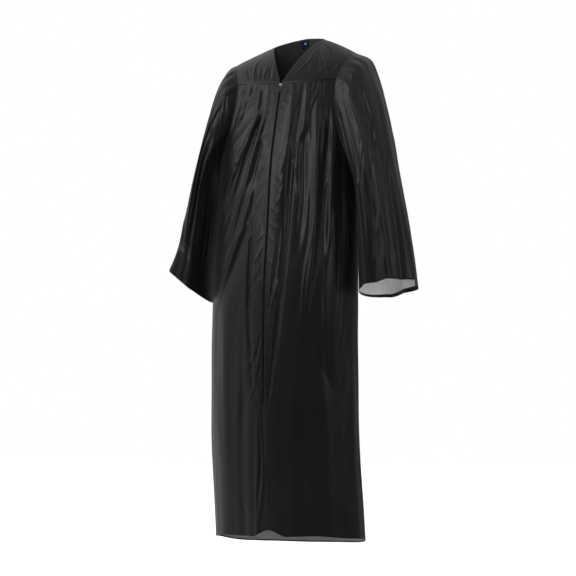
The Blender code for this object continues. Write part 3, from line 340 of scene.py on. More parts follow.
FRONT_RIGHT_CREASES = (
    (0.0020, 0.0080, 0.4, ((18.0, -0.166), (26.0, -0.185), (33.6, -0.219))),
    (-0.0018, 0.0050, 0.3, ((17.7, -0.169), (29.6, -0.200), (35.4, -0.243))),
    (0.0026, 0.0090, 0.3, ((16.7, -0.183), (24.9, -0.226), (37.4, -0.278), (42.2, -0.301))),
    (-0.0020, 0.0070, 0.2, (
        (15.2, -0.227), (23.5, -0.281), (33.1, -0.318), (33.1, -0.368), (41.5, -0.414),
    )),
    (0.0016, 0.0050, 0.5, ((18.8, -0.264), (24.4, -0.310), (29.8, -0.368), (35.9, -0.431), (40.9, -0.484))),
    (-0.0012, 0.0040, 0.2, ((8.8, -0.190), (12.6, -0.231))),
    (0.0014, 0.0050, 0.4, ((7.8, -0.167), (10.7, -0.209), (16.6, -0.242))),
    (0.0012, 0.0050, 0.4, ((3.0, -0.178), (5.5, -0.219), (8.2, -0.240))),
    (-0.0014, 0.0030, 0.4, ((16.7, -0.138), (16.0, -0.163), (15.4, -0.190))),
    (0.0010, 0.0040, 0.3, ((6.8, -0.251), (10.3, -0.277), (13.8, -0.315))),
    (0.0012, 0.0045, 0.3, ((0.7, -0.265), (4.1, -0.301), (9.7, -0.338))),
    (0.0011, 0.0040, 0.3, ((4.3, -0.292), (9.3, -0.327), (14.7, -0.352))),
    (0.0011, 0.0040, 0.3, ((2.7, -0.339), (8.0, -0.368), (12.5, -0.395))),
    (0.0011, 0.0040, 0.3, ((1.9, -0.371), (8.0, -0.407), (11.9, -0.437))),
    (0.0010, 0.0040, 0.3, ((3.0, -0.417), (9.1, -0.453), (11.3, -0.470))),
    (-0.0009, 0.0035, 0.2, ((5.1, -0.317), (10.2, -0.352), (14.1, -0.371))),
    (-0.0009, 0.0035, 0.2, ((2.4, -0.397), (8.6, -0.430), (11.3, -0.457))),
    (-0.0009, 0.0035, 0.2, ((2.8, -0.285), (8.7, -0.317), (14.2, -0.342))),
    (0.0012, 0.0045, 0.4, ((16.9, -0.401), (15.3, -0.444), (16.4, -0.494))),
    (-0.0008, 0.0030, 0.5, ((21.7, -0.185), (17.7, -0.282), (13.0, -0.434))),
    (0.0015, 0.0050, 0.5, ((28.6, -0.411), (34.8, -0.467), (40.4, -0.520), (48.7, -0.563))),
    (0.0026, 0.0110, 0.3, ((16.4, -0.504), (23.1, -0.540), (28.1, -0.579), (32.5, -0.626))),
    (-0.0016, 0.0060, 0.3, ((6.9, -0.515), (9.1, -0.592), (10.2, -0.661), (6.3, -0.705), (3.0, -0.729))),
    (0.0016, 0.0050, 0.4, ((5.2, -0.511), (5.2, -0.600), (4.6, -0.658), (1.3, -0.706), (0.7, -0.751))),
    (-0.0014, 0.0050, 0.3, (
        (13.6, -0.689), (14.7, -0.752), (13.0, -0.808), (10.2, -0.849), (9.6, -0.901), (9.1, -0.960),
    )),
    (0.0020, 0.0045, 0.7, ((0.7, -0.790), (2.4, -0.846), (5.2, -0.903), (8.0, -0.955))),
    (-0.0012, 0.0040, 0.3, ((1.8, -0.800), (5.2, -0.851), (9.1, -0.904))),
    (0.0020, 0.0045, 0.4, ((5.2, -0.939), (3.5, -0.967), (0.1, -0.995))),
    (-0.0014, 0.0040, 0.2, ((3.5, -0.925), (0.7, -0.956), (0.7, -0.979))),
    (-0.0034, 0.0065, 0.7, ((1.7, -1.106), (3.9, -1.163), (5.6, -1.208), (7.3, -1.257), (9.0, -1.303))),
    (0.0030, 0.0100, 0.2, ((0.0, -1.057), (0.0, -1.125), (1.7, -1.187), (4.5, -1.243), (6.8, -1.292))),
    (-0.0010, 0.0090, 0.1, ((24.8, -1.217), (19.7, -1.267), (14.1, -1.303))),
    (0.0022, 0.0220, 0.0, ((34.8, -0.711), (35.3, -0.873), (34.3, -1.058), (34.3, -1.243))),
    (-0.0012, 0.0140, 0.0, ((18.0, -0.712), (18.0, -0.900), (18.6, -1.085))),
)
SLEEVE_LEFT_CREASES = (
    (0.0030, 0.0070, 0.4, ((84, 0.030), (100, 0.160), (112, 0.300), (118, 0.420))),
    (-0.0034, 0.0080, 0.3, ((94, 0.030), (112, 0.160), (124, 0.300), (130, 0.440))),
    (0.0030, 0.0060, 0.5, ((104, 0.020), (124, 0.160), (136, 0.300), (142, 0.460))),
    (-0.0030, 0.0070, 0.3, ((72, 0.040), (86, 0.180), (98, 0.320), (104, 0.460))),
    (0.0024, 0.0050, 0.7, (
        (30, 0.165), (46, 0.265), (68, 0.355), (91, 0.410), (105, 0.460), (128, 0.500), (141, 0.545),
        (147, 0.715),
    )),
    (-0.0018, 0.0070, 0.3, ((47, 0.195), (68, 0.325), (95, 0.375))),
    (0.0016, 0.0045, 0.4, ((40, 0.140), (57, 0.235), (77, 0.300), (97, 0.345))),
    (0.0018, 0.0090, 0.1, ((39, 0.070), (48, 0.105), (57, 0.135))),
    (0.0014, 0.0040, 0.4, ((57, 0.110), (64, 0.135), (75, 0.155))),
    (0.0014, 0.0040, 0.4, ((50, 0.135), (63, 0.170), (79, 0.185))),
    (0.0014, 0.0040, 0.5, ((40, 0.030), (57, 0.055), (77, 0.085))),
    (0.0014, 0.0040, 0.5, ((51, 0.000), (61, 0.025), (72, 0.035))),
    (0.0028, 0.0130, 0.3, ((3, 0.425), (13, 0.560), (19, 0.720), (24, 0.820), (25, 0.940), (24, 0.990))),
    (-0.0016, 0.0090, 0.2, ((24, 0.545), (31, 0.720), (36, 0.850))),
    (0.0024, 0.0090, 0.4, ((54, 0.650), (73, 0.780), (88, 0.845), (97, 0.930), (107, 1.000))),
    (-0.0016, 0.0080, 0.2, ((64, 0.790), (76, 0.865), (89, 0.950))),
    (0.0024, 0.0110, 0.3, ((61, 0.845), (72, 0.920), (78, 0.970), (85, 1.000))),
    (-0.0014, 0.0080, 0.2, ((53, 0.840), (60, 0.915), (66, 1.000))),
    (0.0016, 0.0080, 0.2, ((31, 0.755), (41, 0.855), (48, 0.935), (50, 0.990))),
    (0.0014, 0.0090, 0.2, ((8, 0.830), (1, 0.900), (-22, 0.950))),
    (-0.0014, 0.0120, 0.1, ((35, 0.340), (58, 0.460), (78, 0.595))),
)
SLEEVE_RIGHT_CREASES = (
    (0.0024, 0.0060, 0.5, (
        (60, 0.115), (94, 0.125), (117, 0.120), (154, 0.085), (165, 0.320), (168, 0.475), (172, 0.605),
        (173, 0.705),
    )),
    (-0.0020, 0.0100, 0.2, ((92, 0.105), (126, 0.045), (172, 0.115), (178, 0.350))),
    (0.0016, 0.0045, 0.4, ((50, 0.080), (79, 0.065), (110, 0.000))),
    (0.0014, 0.0040, 0.4, ((58, 0.015), (71, 0.005), (83, 0.000))),
    (0.0014, 0.0040, 0.4, ((51, 0.100), (68, 0.110), (89, 0.110))),
    (-0.0016, 0.0045, 0.3, ((64, 0.095), (93, 0.070), (117, 0.010))),
    (0.0020, 0.0140, 0.1, ((71, 0.230), (92, 0.265), (107, 0.300), (115, 0.360))),
    (0.0120, 0.0300, 0.1, ((108, 0.140), (113, 0.340), (119, 0.540), (114, 0.800))),
    (0.0040, 0.0150, 0.2, ((84, 0.300), (88, 0.480), (92, 0.640), (86, 0.800))),
    (-0.0018, 0.0090, 0.2, ((119, 0.300), (132, 0.410), (137, 0.550))),
    (0.0022, 0.0090, 0.3, ((104, 0.200), (110, 0.360), (114, 0.500), (108, 0.640))),
    (-0.0036, 0.0090, 0.3, ((125, 0.180), (132, 0.380), (138, 0.580), (134, 0.800))),
    (0.0046, 0.0100, 0.4, ((134, 0.160), (142, 0.360), (148, 0.580), (146, 0.820))),
    (0.0040, 0.0090, 0.4, ((152, 0.300), (158, 0.480), (162, 0.660), (160, 0.880))),
    (0.0034, 0.0170, 0.1, ((58, 0.905), (80, 0.870), (104, 0.850), (126, 0.860))),
    (-0.0020, 0.0140, 0.1, ((66, 0.840), (90, 0.800), (116, 0.780))),
    (0.0016, 0.0060, 0.4, ((-168, 0.160), (-169, 0.340), (-176, 0.425))),
    (0.0022, 0.0070, 0.4, ((-155, 0.200), (-148, 0.400), (-154, 0.525), (-161, 0.605), (-164, 0.695))),
    (-0.0018, 0.0050, 0.3, ((-154, 0.325), (-156, 0.470), (-170, 0.580), (-174, 0.675))),
    (0.0012, 0.0080, 0.2, ((150, 0.685), (147, 0.765), (148, 0.835))),
    (-0.0012, 0.0080, 0.2, ((155, 0.660), (161, 0.755), (166, 0.840))),
)
YOKE_LEFT_CREASES = (
    (0.0015, 0.0040, 0.3, ((0.150, 0.386), (0.250, 0.657), (0.190, 0.814), (0.150, 0.929))),
    (0.0014, 0.0040, 0.3, ((0.280, 0.471), (0.350, 0.729), (0.460, 0.900))),
    (-0.0012, 0.0035, 0.3, ((0.260, 0.543), (0.260, 0.743), (0.220, 0.871))),
    (0.0020, 0.0060, 0.3, ((0.180, 0.257), (0.450, 0.500), (0.680, 0.729), (0.790, 0.900))),
    (-0.0016, 0.0040, 0.4, ((0.270, 0.214), (0.670, 0.529), (0.800, 0.729), (0.860, 0.957))),
    (-0.0012, 0.0040, 0.3, ((0.370, 0.543), (0.510, 0.757), (0.630, 0.886))),
    (0.0014, 0.0040, 0.4, ((0.630, 0.729), (0.620, 0.871), (0.590, 0.957))),
    (0.0015, 0.0040, 0.4, ((0.910, 0.629), (0.900, 0.829), (0.870, 0.943))),
    (-0.0010, 0.0040, 0.3, ((0.760, 0.529), (0.840, 0.743), (0.900, 0.914))),
)
YOKE_RIGHT_CREASES = (
    (0.0014, 0.0040, 0.4, ((1.000, 0.657), (0.950, 0.957), (0.900, 1.000))),
    (-0.0014, 0.0040, 0.3, ((0.690, 0.686), (0.650, 0.871), (0.640, 1.000))),
    (0.0015, 0.0045, 0.3, ((0.360, 0.429), (0.480, 0.671), (0.530, 0.900), (0.520, 1.000))),
    (0.0014, 0.0040, 0.3, ((0.380, 0.671), (0.380, 0.843), (0.480, 1.000))),
    (-0.0012, 0.0035, 0.2, ((0.440, 0.729), (0.460, 0.900), (0.500, 1.000))),
    (0.0015, 0.0040, 0.3, ((0.170, 0.657), (0.260, 0.814), (0.310, 0.957), (0.260, 1.000))),
    (-0.0015, 0.0035, 0.3, ((0.120, 0.729), (0.160, 0.843), (0.190, 0.957))),
    (0.0013, 0.0040, 0.4, ((0.060, 0.743), (0.100, 0.857), (0.140, 0.957))),
    (0.0012, 0.0035, 0.4, ((0.030, 0.757), (0.010, 0.857), (0.000, 0.957))),
)
BACK_CREASES = (
    (0.0024, 0.0080, 0.4, ((3.0, -0.130), (5.0, -0.260), (4.0, -0.420), (7.0, -0.600))),
    (-0.0020, 0.0060, 0.4, ((-3.5, -0.130), (-5.0, -0.240), (-4.0, -0.380))),
    (0.0022, 0.0050, 0.6, ((12.0, -0.130), (15.5, -0.250), (17.0, -0.400), (16.0, -0.580))),
    (0.0026, 0.0090, 0.3, ((-12.0, -0.135), (-14.0, -0.300), (-17.0, -0.480), (-15.0, -0.720))),
    (-0.0022, 0.0060, 0.5, ((20.0, -0.130), (25.0, -0.230), (29.0, -0.350))),
    (0.0020, 0.0050, 0.6, ((27.0, -0.135), (35.0, -0.260), (43.0, -0.390), (52.0, -0.540))),
    (0.0022, 0.0055, 0.5, ((-27.0, -0.135), (-33.0, -0.240), (-41.0, -0.360), (-50.0, -0.500))),
    (-0.0018, 0.0055, 0.3, ((-20.0, -0.130), (-24.0, -0.240), (-30.0, -0.350))),
    (0.0016, 0.0045, 0.4, ((33.0, -0.150), (41.0, -0.230), (48.0, -0.320))),
    (0.0016, 0.0045, 0.4, ((-35.0, -0.150), (-42.0, -0.230), (-50.0, -0.310))),
    (0.0024, 0.0120, 0.2, ((9.0, -0.560), (10.0, -0.760), (8.0, -1.000))),
    (-0.0020, 0.0100, 0.2, ((-7.0, -0.600), (-9.0, -0.820), (-8.0, -1.060))),
    (0.0022, 0.0110, 0.2, ((29.0, -0.620), (30.0, -0.840), (28.0, -1.100))),
    (0.0022, 0.0120, 0.2, ((-27.0, -0.680), (-29.0, -0.900), (-27.0, -1.180))),
    (-0.0016, 0.0100, 0.1, ((16.0, -0.900), (15.0, -1.060), (16.0, -1.260))),
    (0.0014, 0.0160, 0.0, ((-50.0, -0.900), (-52.0, -1.060), (-50.0, -1.260))),
    (0.0012, 0.0045, 0.4, ((6.0, -0.300), (9.0, -0.330), (11.0, -0.370))),
    (0.0012, 0.0045, 0.4, ((-6.0, -0.350), (-10.0, -0.390), (-12.0, -0.430))),
)
SLEEVE_LEFT_BACK_CREASES = (
    (0.0024, 0.0070, 0.4, ((-12, 0.080), (-16, 0.260), (-20, 0.480), (-18, 0.700))),
    (-0.0020, 0.0080, 0.2, ((-34, 0.060), (-40, 0.240), (-44, 0.460))),
    (0.0026, 0.0100, 0.3, ((-64, 0.100), (-66, 0.360), (-62, 0.640), (-60, 0.960))),
    (0.0018, 0.0050, 0.5, ((-78, 0.060), (-86, 0.180), (-96, 0.330))),
    (-0.0018, 0.0100, 0.2, ((-92, 0.480), (-94, 0.700), (-92, 0.960))),
    (0.0022, 0.0110, 0.2, ((-36, 0.560), (-34, 0.760), (-30, 0.985))),
    (0.0016, 0.0050, 0.4, ((-120, 0.120), (-116, 0.300), (-112, 0.520))),
)
SLEEVE_RIGHT_BACK_CREASES = (
    (0.0022, 0.0070, 0.4, ((-8, 0.060), (-12, 0.240), (-14, 0.460), (-10, 0.680))),
    (0.0020, 0.0060, 0.5, ((-30, 0.080), (-38, 0.250), (-46, 0.420))),
    (-0.0020, 0.0090, 0.2, ((-62, 0.080), (-62, 0.320), (-58, 0.600))),
    (0.0026, 0.0110, 0.3, ((-84, 0.160), (-88, 0.420), (-84, 0.700), (-80, 0.970))),
    (0.0018, 0.0060, 0.4, ((-20, 0.620), (-26, 0.720), (-36, 0.800))),
    (-0.0018, 0.0060, 0.3, ((-14, 0.680), (-22, 0.780), (-32, 0.850))),
    (0.0020, 0.0100, 0.2, ((-50, 0.700), (-48, 0.850), (-46, 0.985))),
    (0.0016, 0.0050, 0.4, ((-116, 0.140), (-112, 0.320), (-110, 0.540))),
)
YOKE_BACK_CREASES = (
    (0.0012, 0.0045, 0.3, ((0.140, 0.300), (0.160, 0.600), (0.150, 0.920))),
    (-0.0010, 0.0040, 0.3, ((0.190, 0.340), (0.200, 0.620), (0.210, 0.930))),
    (0.0014, 0.0050, 0.3, ((0.860, 0.280), (0.840, 0.580), (0.850, 0.920))),
    (0.0012, 0.0045, 0.3, ((0.780, 0.400), (0.770, 0.660), (0.760, 0.930))),
    (0.0010, 0.0060, 0.1, ((0.460, 0.300), (0.450, 0.560), (0.470, 0.900))),
    (-0.0010, 0.0060, 0.1, ((0.580, 0.340), (0.590, 0.600), (0.570, 0.900))),
    (0.0010, 0.0040, 0.3, ((0.080, 0.460), (0.100, 0.660), (0.090, 0.900))),
)

# Camera: where it stands, what it looks at and its lens
CAMERA_AZIMUTH = 22.0
CAMERA_ELEVATION = -3.5
CAMERA_DISTANCE = 6.0
CAMERA_RIGHT = -0.0274
CAMERA_UP = -0.6713
SENSOR = 36.0
FRAME_WIDTH = 1.5782


class GownCloth(bpy.types.PropertyGroup):
    """Colours and make of the satin. The greys of its inside are painted light: pale painted sheen in the sleeves,
    darker painted shade in the body and the yokes.
    """

    outside: FloatVectorProperty(
        name="Satin", description="Colour of the satin's right side", subtype="COLOR", default=(0.0032, 0.0029, 0.0034)
    )
    # Pale grey of the sleeves' inside: painted sheen, a lit copy of the cloth's inside that stands for light caught
    # inside the cuffs.
    inside: FloatVectorProperty(
        name="Wrong side painted sheen", description="Painted sheen: pale grey of the satin's inside", subtype="COLOR", default=(0.50, 0.50, 0.50)
    )
    # Darker grey inside the body: painted shade, a shaded copy of the same cloth inside.
    panel_painted_shade: FloatVectorProperty(
        name="Panel wrong side painted shade",
        description="Painted shade: darker grey inside the body of the gown",
        subtype="COLOR",
        default=(0.16, 0.16, 0.165),
    )
    roughness: FloatProperty(
        name="Roughness", description="Roughness of the satin", subtype="FACTOR", min=0.05, max=1.0, default=0.30
    )
    thickness: FloatProperty(
        name="Thickness", description="Thickness of one layer", unit="LENGTH", min=0.0002, max=0.002, default=0.0007
    )


class GownMesh(bpy.types.PropertyGroup):
    """How finely the cloth is modelled"""

    front_columns: IntProperty(name="Front columns", description="Steps across a front", min=20, max=140, default=134)
    rows_above: IntProperty(name="Rows above", description="Rows above the underarm", min=20, max=120, default=76)
    rows_below: IntProperty(name="Rows below", description="Rows below the underarm", min=60, max=320, default=266)
    back_columns: IntProperty(name="Back columns", description="Steps across the back", min=40, max=160, default=112)
    sleeve_rings: IntProperty(name="Sleeve rings", description="Rings of a sleeve", min=40, max=220, default=180)
    sleeve_columns: IntProperty(name="Sleeve columns", description="Steps round a sleeve", min=60, max=260, default=216)
    yoke_steps: IntProperty(name="Yoke steps", description="Steps across a front yoke", min=10, max=80, default=56)


class GownStitching(bpy.types.PropertyGroup):
    """Size of the stitches"""

    length: FloatProperty(
        name="Stitch", description="Length of one stitch", unit="LENGTH", min=0.001, max=0.006, default=0.0026
    )
    gap: FloatProperty(name="Gap", description="Gap between stitches", unit="LENGTH", min=0.0002, max=0.003, default=0.0009)
    radius: FloatProperty(
        name="Thread", description="Radius of the thread", unit="LENGTH", min=0.0001, max=0.001, default=0.00028
    )


class GownStudio(bpy.types.PropertyGroup):
    """Light and floor"""

    floor_z: FloatProperty(name="Floor", description="Height of the floor", unit="LENGTH", default=-1.50)
    backdrop: FloatProperty(name="Backdrop", description="Brightness behind the gown", min=0.0, max=4.0, default=1.0)
    ambient: FloatProperty(name="Ambient", description="Brightness of the room", min=0.0, max=4.0, default=1.0)
    left_power: FloatProperty(name="Left light", description="Power of the left softbox", unit="POWER", default=8.5)
    right_power: FloatProperty(name="Right light", description="Power of the right softbox", unit="POWER", default=4.5)
    top_power: FloatProperty(name="Top light", description="Power of the top softbox", unit="POWER", default=11.0)


def table(columns, rows):
    """The rows as one array for each named column."""
    return {name: np.array([row[i] for row in rows], float) for i, name in enumerate(columns.split())}


def named(columns, row):
    """One row of a table with its columns' names."""
    return dict(zip(columns.split(), row))


def smooth(xs, ys, x):
    """The monotone cubic through the points of a table, at any array of places."""
    step = np.diff(xs)
    slope = np.diff(ys) / step
    ends = np.zeros(len(xs))
    for i in range(1, len(xs) - 1):
        if slope[i - 1] * slope[i] > 0:
            before = 2 * step[i] + step[i - 1]
            after = step[i] + 2 * step[i - 1]
            ends[i] = (before + after) / (before / slope[i - 1] + after / slope[i])
    ends[0], ends[-1] = slope[0], slope[-1]
    x = np.clip(np.asarray(x, float), xs[0], xs[-1])
    i = np.minimum(np.searchsorted(xs, x, side="right") - 1, len(step) - 1)
    u = (x - xs[i]) / step[i]
    near = ys[i] * (1 + 2 * u) * (1 - u) ** 2 + ends[i] * step[i] * u * (1 - u) ** 2
    return near + ys[i + 1] * u * u * (3 - 2 * u) - ends[i + 1] * step[i] * u * u * (1 - u)


def fade(low, high, value):
    """0 below low and 1 above high, with a soft step between."""
    u = np.clip((np.asarray(value, float) - low) / (high - low), 0.0, 1.0)
    return u * u * (3 - 2 * u)


def through_three(start, middle, end, u):
    """The curve through three values at u = 0, a half and 1."""
    return start * (1 - u) * (1 - 2 * u) + middle * 4 * u * (1 - u) + end * u * (2 * u - 1)


def bump(distance, half_width):
    """A soft ridge, 1 in its middle and 0 from half_width on."""
    near = np.clip(np.abs(distance) / half_width, 0.0, 1.0)
    return 0.5 * (1 + np.cos(np.pi * near))


def unit(vectors):
    return vectors / np.linalg.norm(vectors, axis=-1, keepdims=True)


BODY = table(BODY_COLUMNS, BODY_ROWS)
HEM = table(HEM_COLUMNS, HEM_ROWS)


def body_value(column, z):
    return smooth(-BODY["z"], BODY[column], -np.asarray(z, float))


def body_frame(angle, z):
    """The plain tube's points at these angles and heights, their outward directions and turning radii."""
    z = np.asarray(z, float)
    turn = np.radians(angle)
    wide = body_value("half_width", z)
    deep = np.where(np.cos(turn) > 0, body_value("front_depth", z), body_value("back_depth", z))
    east, south = np.sin(turn), -np.cos(turn)
    point = np.stack([body_value("centre_x", z) + wide * east, body_value("centre_y", z) + deep * south, z + 0 * turn], -1)
    out = unit(np.stack([east / wide, south / deep, 0 * (z + turn)], -1))
    return point, out, np.hypot(wide * south, deep * east)


def fold_height(folds, angle, z, radius):
    """How far the large folds of a panel lift its cloth, flatter low down."""
    total = 0.0
    for row in folds:
        fold = named(FOLD_COLUMNS, row)
        u = np.clip((fold["top_z"] - z) / (fold["top_z"] - fold["bottom_z"]), 0.0, 1.0)
        at = through_three(fold["top_angle"], fold["mid_angle"], fold["bottom_angle"], u)
        ends = fade(0.0, FOLD_RISE, u)
        if fold["bottom_z"] > RUNS_OUT_Z:
            ends = ends * (1 - fade(FOLD_FALL, 1.0, u))
        total = total + fold["height"] * ends * bump(np.radians(angle - at) * radius, fold["half_width"])
    return total * (LOW_FOLD_SHARE + (1 - LOW_FOLD_SHARE) * fade(*LOW_FOLD_HEIGHTS, z))


def crease_path(corners):
    """A smooth line through the corners of a crease."""
    corners = np.asarray(corners, float)
    if len(corners) == 2:
        share = np.linspace(0, 1, CREASE_POINTS)[:, None]
        return corners[0] * (1 - share) + corners[1] * share
    lengths = np.concatenate([[0], np.cumsum(np.linalg.norm(np.diff(corners, axis=0), axis=1))])
    at = np.linspace(0, lengths[-1], CREASE_POINTS)
    slopes = np.gradient(corners, lengths, axis=0)
    i = np.clip(np.searchsorted(lengths, at, side="right") - 1, 0, len(corners) - 2)
    step = (lengths[i + 1] - lengths[i])[:, None]
    u = ((at - lengths[i])[:, None]) / step
    near = corners[i] * (1 + 2 * u) * (1 - u) ** 2 + slopes[i] * step * u * (1 - u) ** 2
    return near + corners[i + 1] * u * u * (3 - 2 * u) - slopes[i + 1] * step * u * u * (1 - u)


def crease_lift(across, down, creases):
    """Lift of a sheet by its creases, where across and down are metres on the cloth laid flat."""
    lift = np.zeros_like(across)
    for height, half_width, crisp, corners in creases:
        path = crease_path(corners)
        low = path.min(axis=0) - half_width
        high = path.max(axis=0) + half_width
        near = (across > low[0]) & (across < high[0]) & (down > low[1]) & (down < high[1])
        if not near.any():
            continue
        place = np.stack([across[near], down[near]], -1)[:, None, :]
        step = np.diff(path, axis=0)
        along = np.clip(((place - path[:-1]) * step).sum(-1) / (step**2).sum(-1), 0, 1)
        apart = np.linalg.norm(place - path[:-1] - along[..., None] * step, axis=-1)
        best = apart.argmin(axis=1)
        rows = np.arange(len(best))
        share = (best + along[rows, best]) / len(step)
        distance = np.clip(apart[rows, best] / half_width, 0, 1)
        round_top = 0.5 * (1 + np.cos(np.pi * distance))
        sharp_top = (1 - distance) ** 2 / (1 + 3 * distance)
        ends = np.sin(np.pi * np.clip(share, 0, 1)) ** 0.8
        lift[near] += height * ends * (round_top * (1 - crisp) + sharp_top * crisp)
    return lift


def on_body(creases):
    """Creases given by angle and height, in metres on the flat cloth."""
    return [
        (height, half_width, crisp, [(math.radians(angle) * BODY_RADIUS, z) for angle, z in path])
        for height, half_width, crisp, path in creases
    ]


def on_yoke(creases, width):
    """Creases given by share of a yoke's width and drop, in metres on the flat cloth."""
    return [
        (2.3 * height, half_width, crisp, [(across * width, down * YOKE_DROP) for across, down in path])
        for height, half_width, crisp, path in creases
    ]


def on_sleeve(creases):
    """Creases given by place round a sleeve and share of its length, in metres on the flat cloth."""
    return [
        (height, half_width, crisp, [(math.radians(around) * SLEEVE_RADIUS, share * SLEEVE_LENGTH) for around, share in path])
        for height, half_width, crisp, path in creases
    ]


def puckers(side):
    """Short slanting ridges where the zip draws up the edge of a front, the longer ones on the right."""
    chance = np.random.default_rng(PUCKER_SEED + side)
    rows = []
    z = SLIDER_Z - 0.02
    while z > ZIP_BOTTOM:
        length = chance.uniform(*PUCKER_LENGTH) * (1.0 if side < 0 else 0.6)
        start = chance.uniform(0.002, 0.022)
        slant = chance.uniform(*PUCKER_SLANT) * (1.0 if side < 0 else 0.6)
        path = [(start, z), (start + 0.5 * length, z - 0.6 * slant * length), (start + length, z - slant * length)]
        rows.append((chance.uniform(*PUCKER_HEIGHT), chance.uniform(0.0050, 0.0085), 0.2, path))
        z -= PUCKER_STEP * chance.uniform(0.6, 1.5)
    return rows


def unevenness(across, down):
    """Slow soft waves of the whole cloth."""
    waves = np.sin(41 * across + 17 * down + 0.4) + np.sin(29 * across - 23 * down + 2.1)
    waves = waves + 0.7 * np.sin(73 * across + 9 * down + 4.0 + 1.5 * np.sin(12 * down))
    return UNEVEN_HEIGHT * waves / 2.7


def hem_line(above_hem):
    """The small step where the turned hem ends, with the dent of its stitches."""
    return HEM_RIDGE * (1 - fade(HEM_DEPTH - 0.001, HEM_DEPTH + 0.001, above_hem)) - 0.0002 * bump(
        above_hem - HEM_DEPTH - 0.001, 0.004
    )


def seam_height(angle):
    return YOKE_SEAM_CENTRE + (YOKE_SEAM_END - YOKE_SEAM_CENTRE) * fade(0, YOKE_END_ANGLE, np.abs(angle))


def hem_height(angle):
    away = np.abs(angle)
    across = np.radians(away) * BODY["half_width"][-1]
    return smooth(HEM["angle"], HEM["z"], away) + NOTCH_HEIGHT * (1 - fade(0, NOTCH_WIDTH, across))


def armhole_angle(share):
    """Angle of the armhole's edge from centre front or back, by its share of the way to the underarm."""
    curve = 1 - (1 - np.minimum(share, 1.0) ** ARMHOLE_CURVE) ** (1 / ARMHOLE_CURVE)
    return YOKE_END_ANGLE + (90 - YOKE_END_ANGLE) * curve


def pleats(angle, z):
    """Small gathers that the yoke seam holds, fading down the panel."""
    below = seam_height(angle) - z
    reach = fade(0, PLEAT_FULL, below) * (1 - fade(PLEAT_FADE, PLEAT_END, below))
    uneven = 1 + 0.35 * np.sin(angle * 0.61) + 0.25 * np.sin(angle * 1.37 + 1.0)
    phase = 2 * np.pi * angle / PLEAT_STEP + 0.7 * np.sin(angle * 0.23)
    return 0.5 * PLEAT_HEIGHT * uneven * reach * np.cos(phase)


def edge_gap(z):
    """Half the gap between the fronts, open over the zip and closed below it."""
    return ZIP_HALF_GAP * fade(ZIP_BOTTOM - ZIP_CLOSE, ZIP_BOTTOM, z)


def calm_near_arm(angle, z):
    """Folds fade out at the armhole and where the sleeve lies against the side."""
    seam = seam_height(angle)
    above = np.clip((seam - z) / (seam - UNDERARM_Z), 0.0, 1.0)
    at_edge = np.maximum(fade(0, ARMHOLE_CALM, armhole_angle(above) - angle), fade(0, UNDERARM_CALM, UNDERARM_Z - z))
    beside_sleeve = fade(*SIDE_CALM_ANGLES, angle) * fade(*SIDE_CALM_HEIGHTS, z)
    return at_edge * (1 - beside_sleeve)


def panel_top(angle):
    """Height of a panel's upper edge: the yoke seam, then the armhole down to the underarm."""
    away = np.clip((np.abs(angle) - YOKE_END_ANGLE) / (90 - YOKE_END_ANGLE), 0, 1)
    share = (1 - (1 - away) ** ARMHOLE_CURVE) ** (1 / ARMHOLE_CURVE)
    top = seam_height(angle)
    return top + (UNDERARM_Z - top) * share


def panel_heights(settings, angles, hems):
    """Heights of a panel's points: rows from the upper edge to the underarm, then on to the hem."""
    above = np.linspace(0, 1, settings.rows_above + 1)[:, None]
    below = np.linspace(0, 1, settings.rows_below + 1)[1:, None]
    top = panel_top(angles)[None]
    return np.concatenate([top + (UNDERARM_Z - top) * above, UNDERARM_Z + (hems[None] - UNDERARM_Z) * below])


def front_points(side, folds, creases, settings):
    """Points of a front panel, side 1 for the wearer's left, each column at one angle from seam to hem."""
    share = np.linspace(0, 1, settings.front_columns + 1)
    angles = 90 * share * (0.80 + 0.20 * share)
    hem = hem_height(angles)
    z = panel_heights(settings, angles, hem)
    first = np.degrees(np.arcsin(edge_gap(z) / body_value("half_width", z)))
    angle = angles[None] + first * np.clip(1 - angles[None] / 20, 0, 1)
    point, out, radius = body_frame(side * angle, z)
    from_zip = np.radians(angle) * radius - edge_gap(z)
    free = np.maximum(fade(PLAIN_EDGE, PLAIN_EDGE + PLAIN_FADE, from_zip), fade(*PLAIN_BELOW_ZIP, ZIP_BOTTOM - z))
    calm = calm_near_arm(angle, z)
    lift = free * calm * (fold_height(folds, angle, z, radius) + pleats(angle, z))
    flat = np.radians(angle) * BODY_RADIUS
    small = crease_lift(flat, z, on_body(creases) + puckers(side)) + unevenness(side * flat, z)
    at_arm = np.maximum(calm, 0.55 * fade(0.02, 0.10, UNDERARM_Z - z))
    lift = lift + fade(0.001, 0.010, from_zip) * at_arm * small + hem_line(z - hem[None])
    return point + out * lift[..., None]


def back_points(settings):
    """Points of the back panel from the wearer's right side to the left."""
    share = np.linspace(-1, 1, settings.back_columns + 1)
    angles = 90 * share
    hem = hem_height(180 - np.abs(angles))
    z = panel_heights(settings, angles, hem)
    angle = angles[None] + 0 * z
    point, out, radius = body_frame(180 - angle, z)
    flat = np.radians(angle) * BODY_RADIUS
    lift = fold_height(BACK_FOLDS, angle, z, radius) + pleats(angle, z)
    lift = lift + crease_lift(flat, z, on_body(BACK_CREASES)) + unevenness(flat + 2, z)
    lift = calm_near_arm(np.abs(angle), z) * lift + hem_line(z - hem[None])
    return point + out * lift[..., None]


def bezier(points, u):
    """A quadratic or cubic Bezier curve at an array of places."""
    u = np.asarray(u, float)[..., None]
    points = [np.asarray(p, float) + 0 * u for p in points]
    while len(points) > 1:
        points = [a * (1 - u) + b * u for a, b in zip(points, points[1:])]
    return points[0]


def neck_side(side):
    return np.array(NECK_SIDE_LEFT if side > 0 else NECK_SIDE_RIGHT)


def shoulder(side):
    return np.array(SHOULDER_LEFT if side > 0 else SHOULDER_RIGHT)


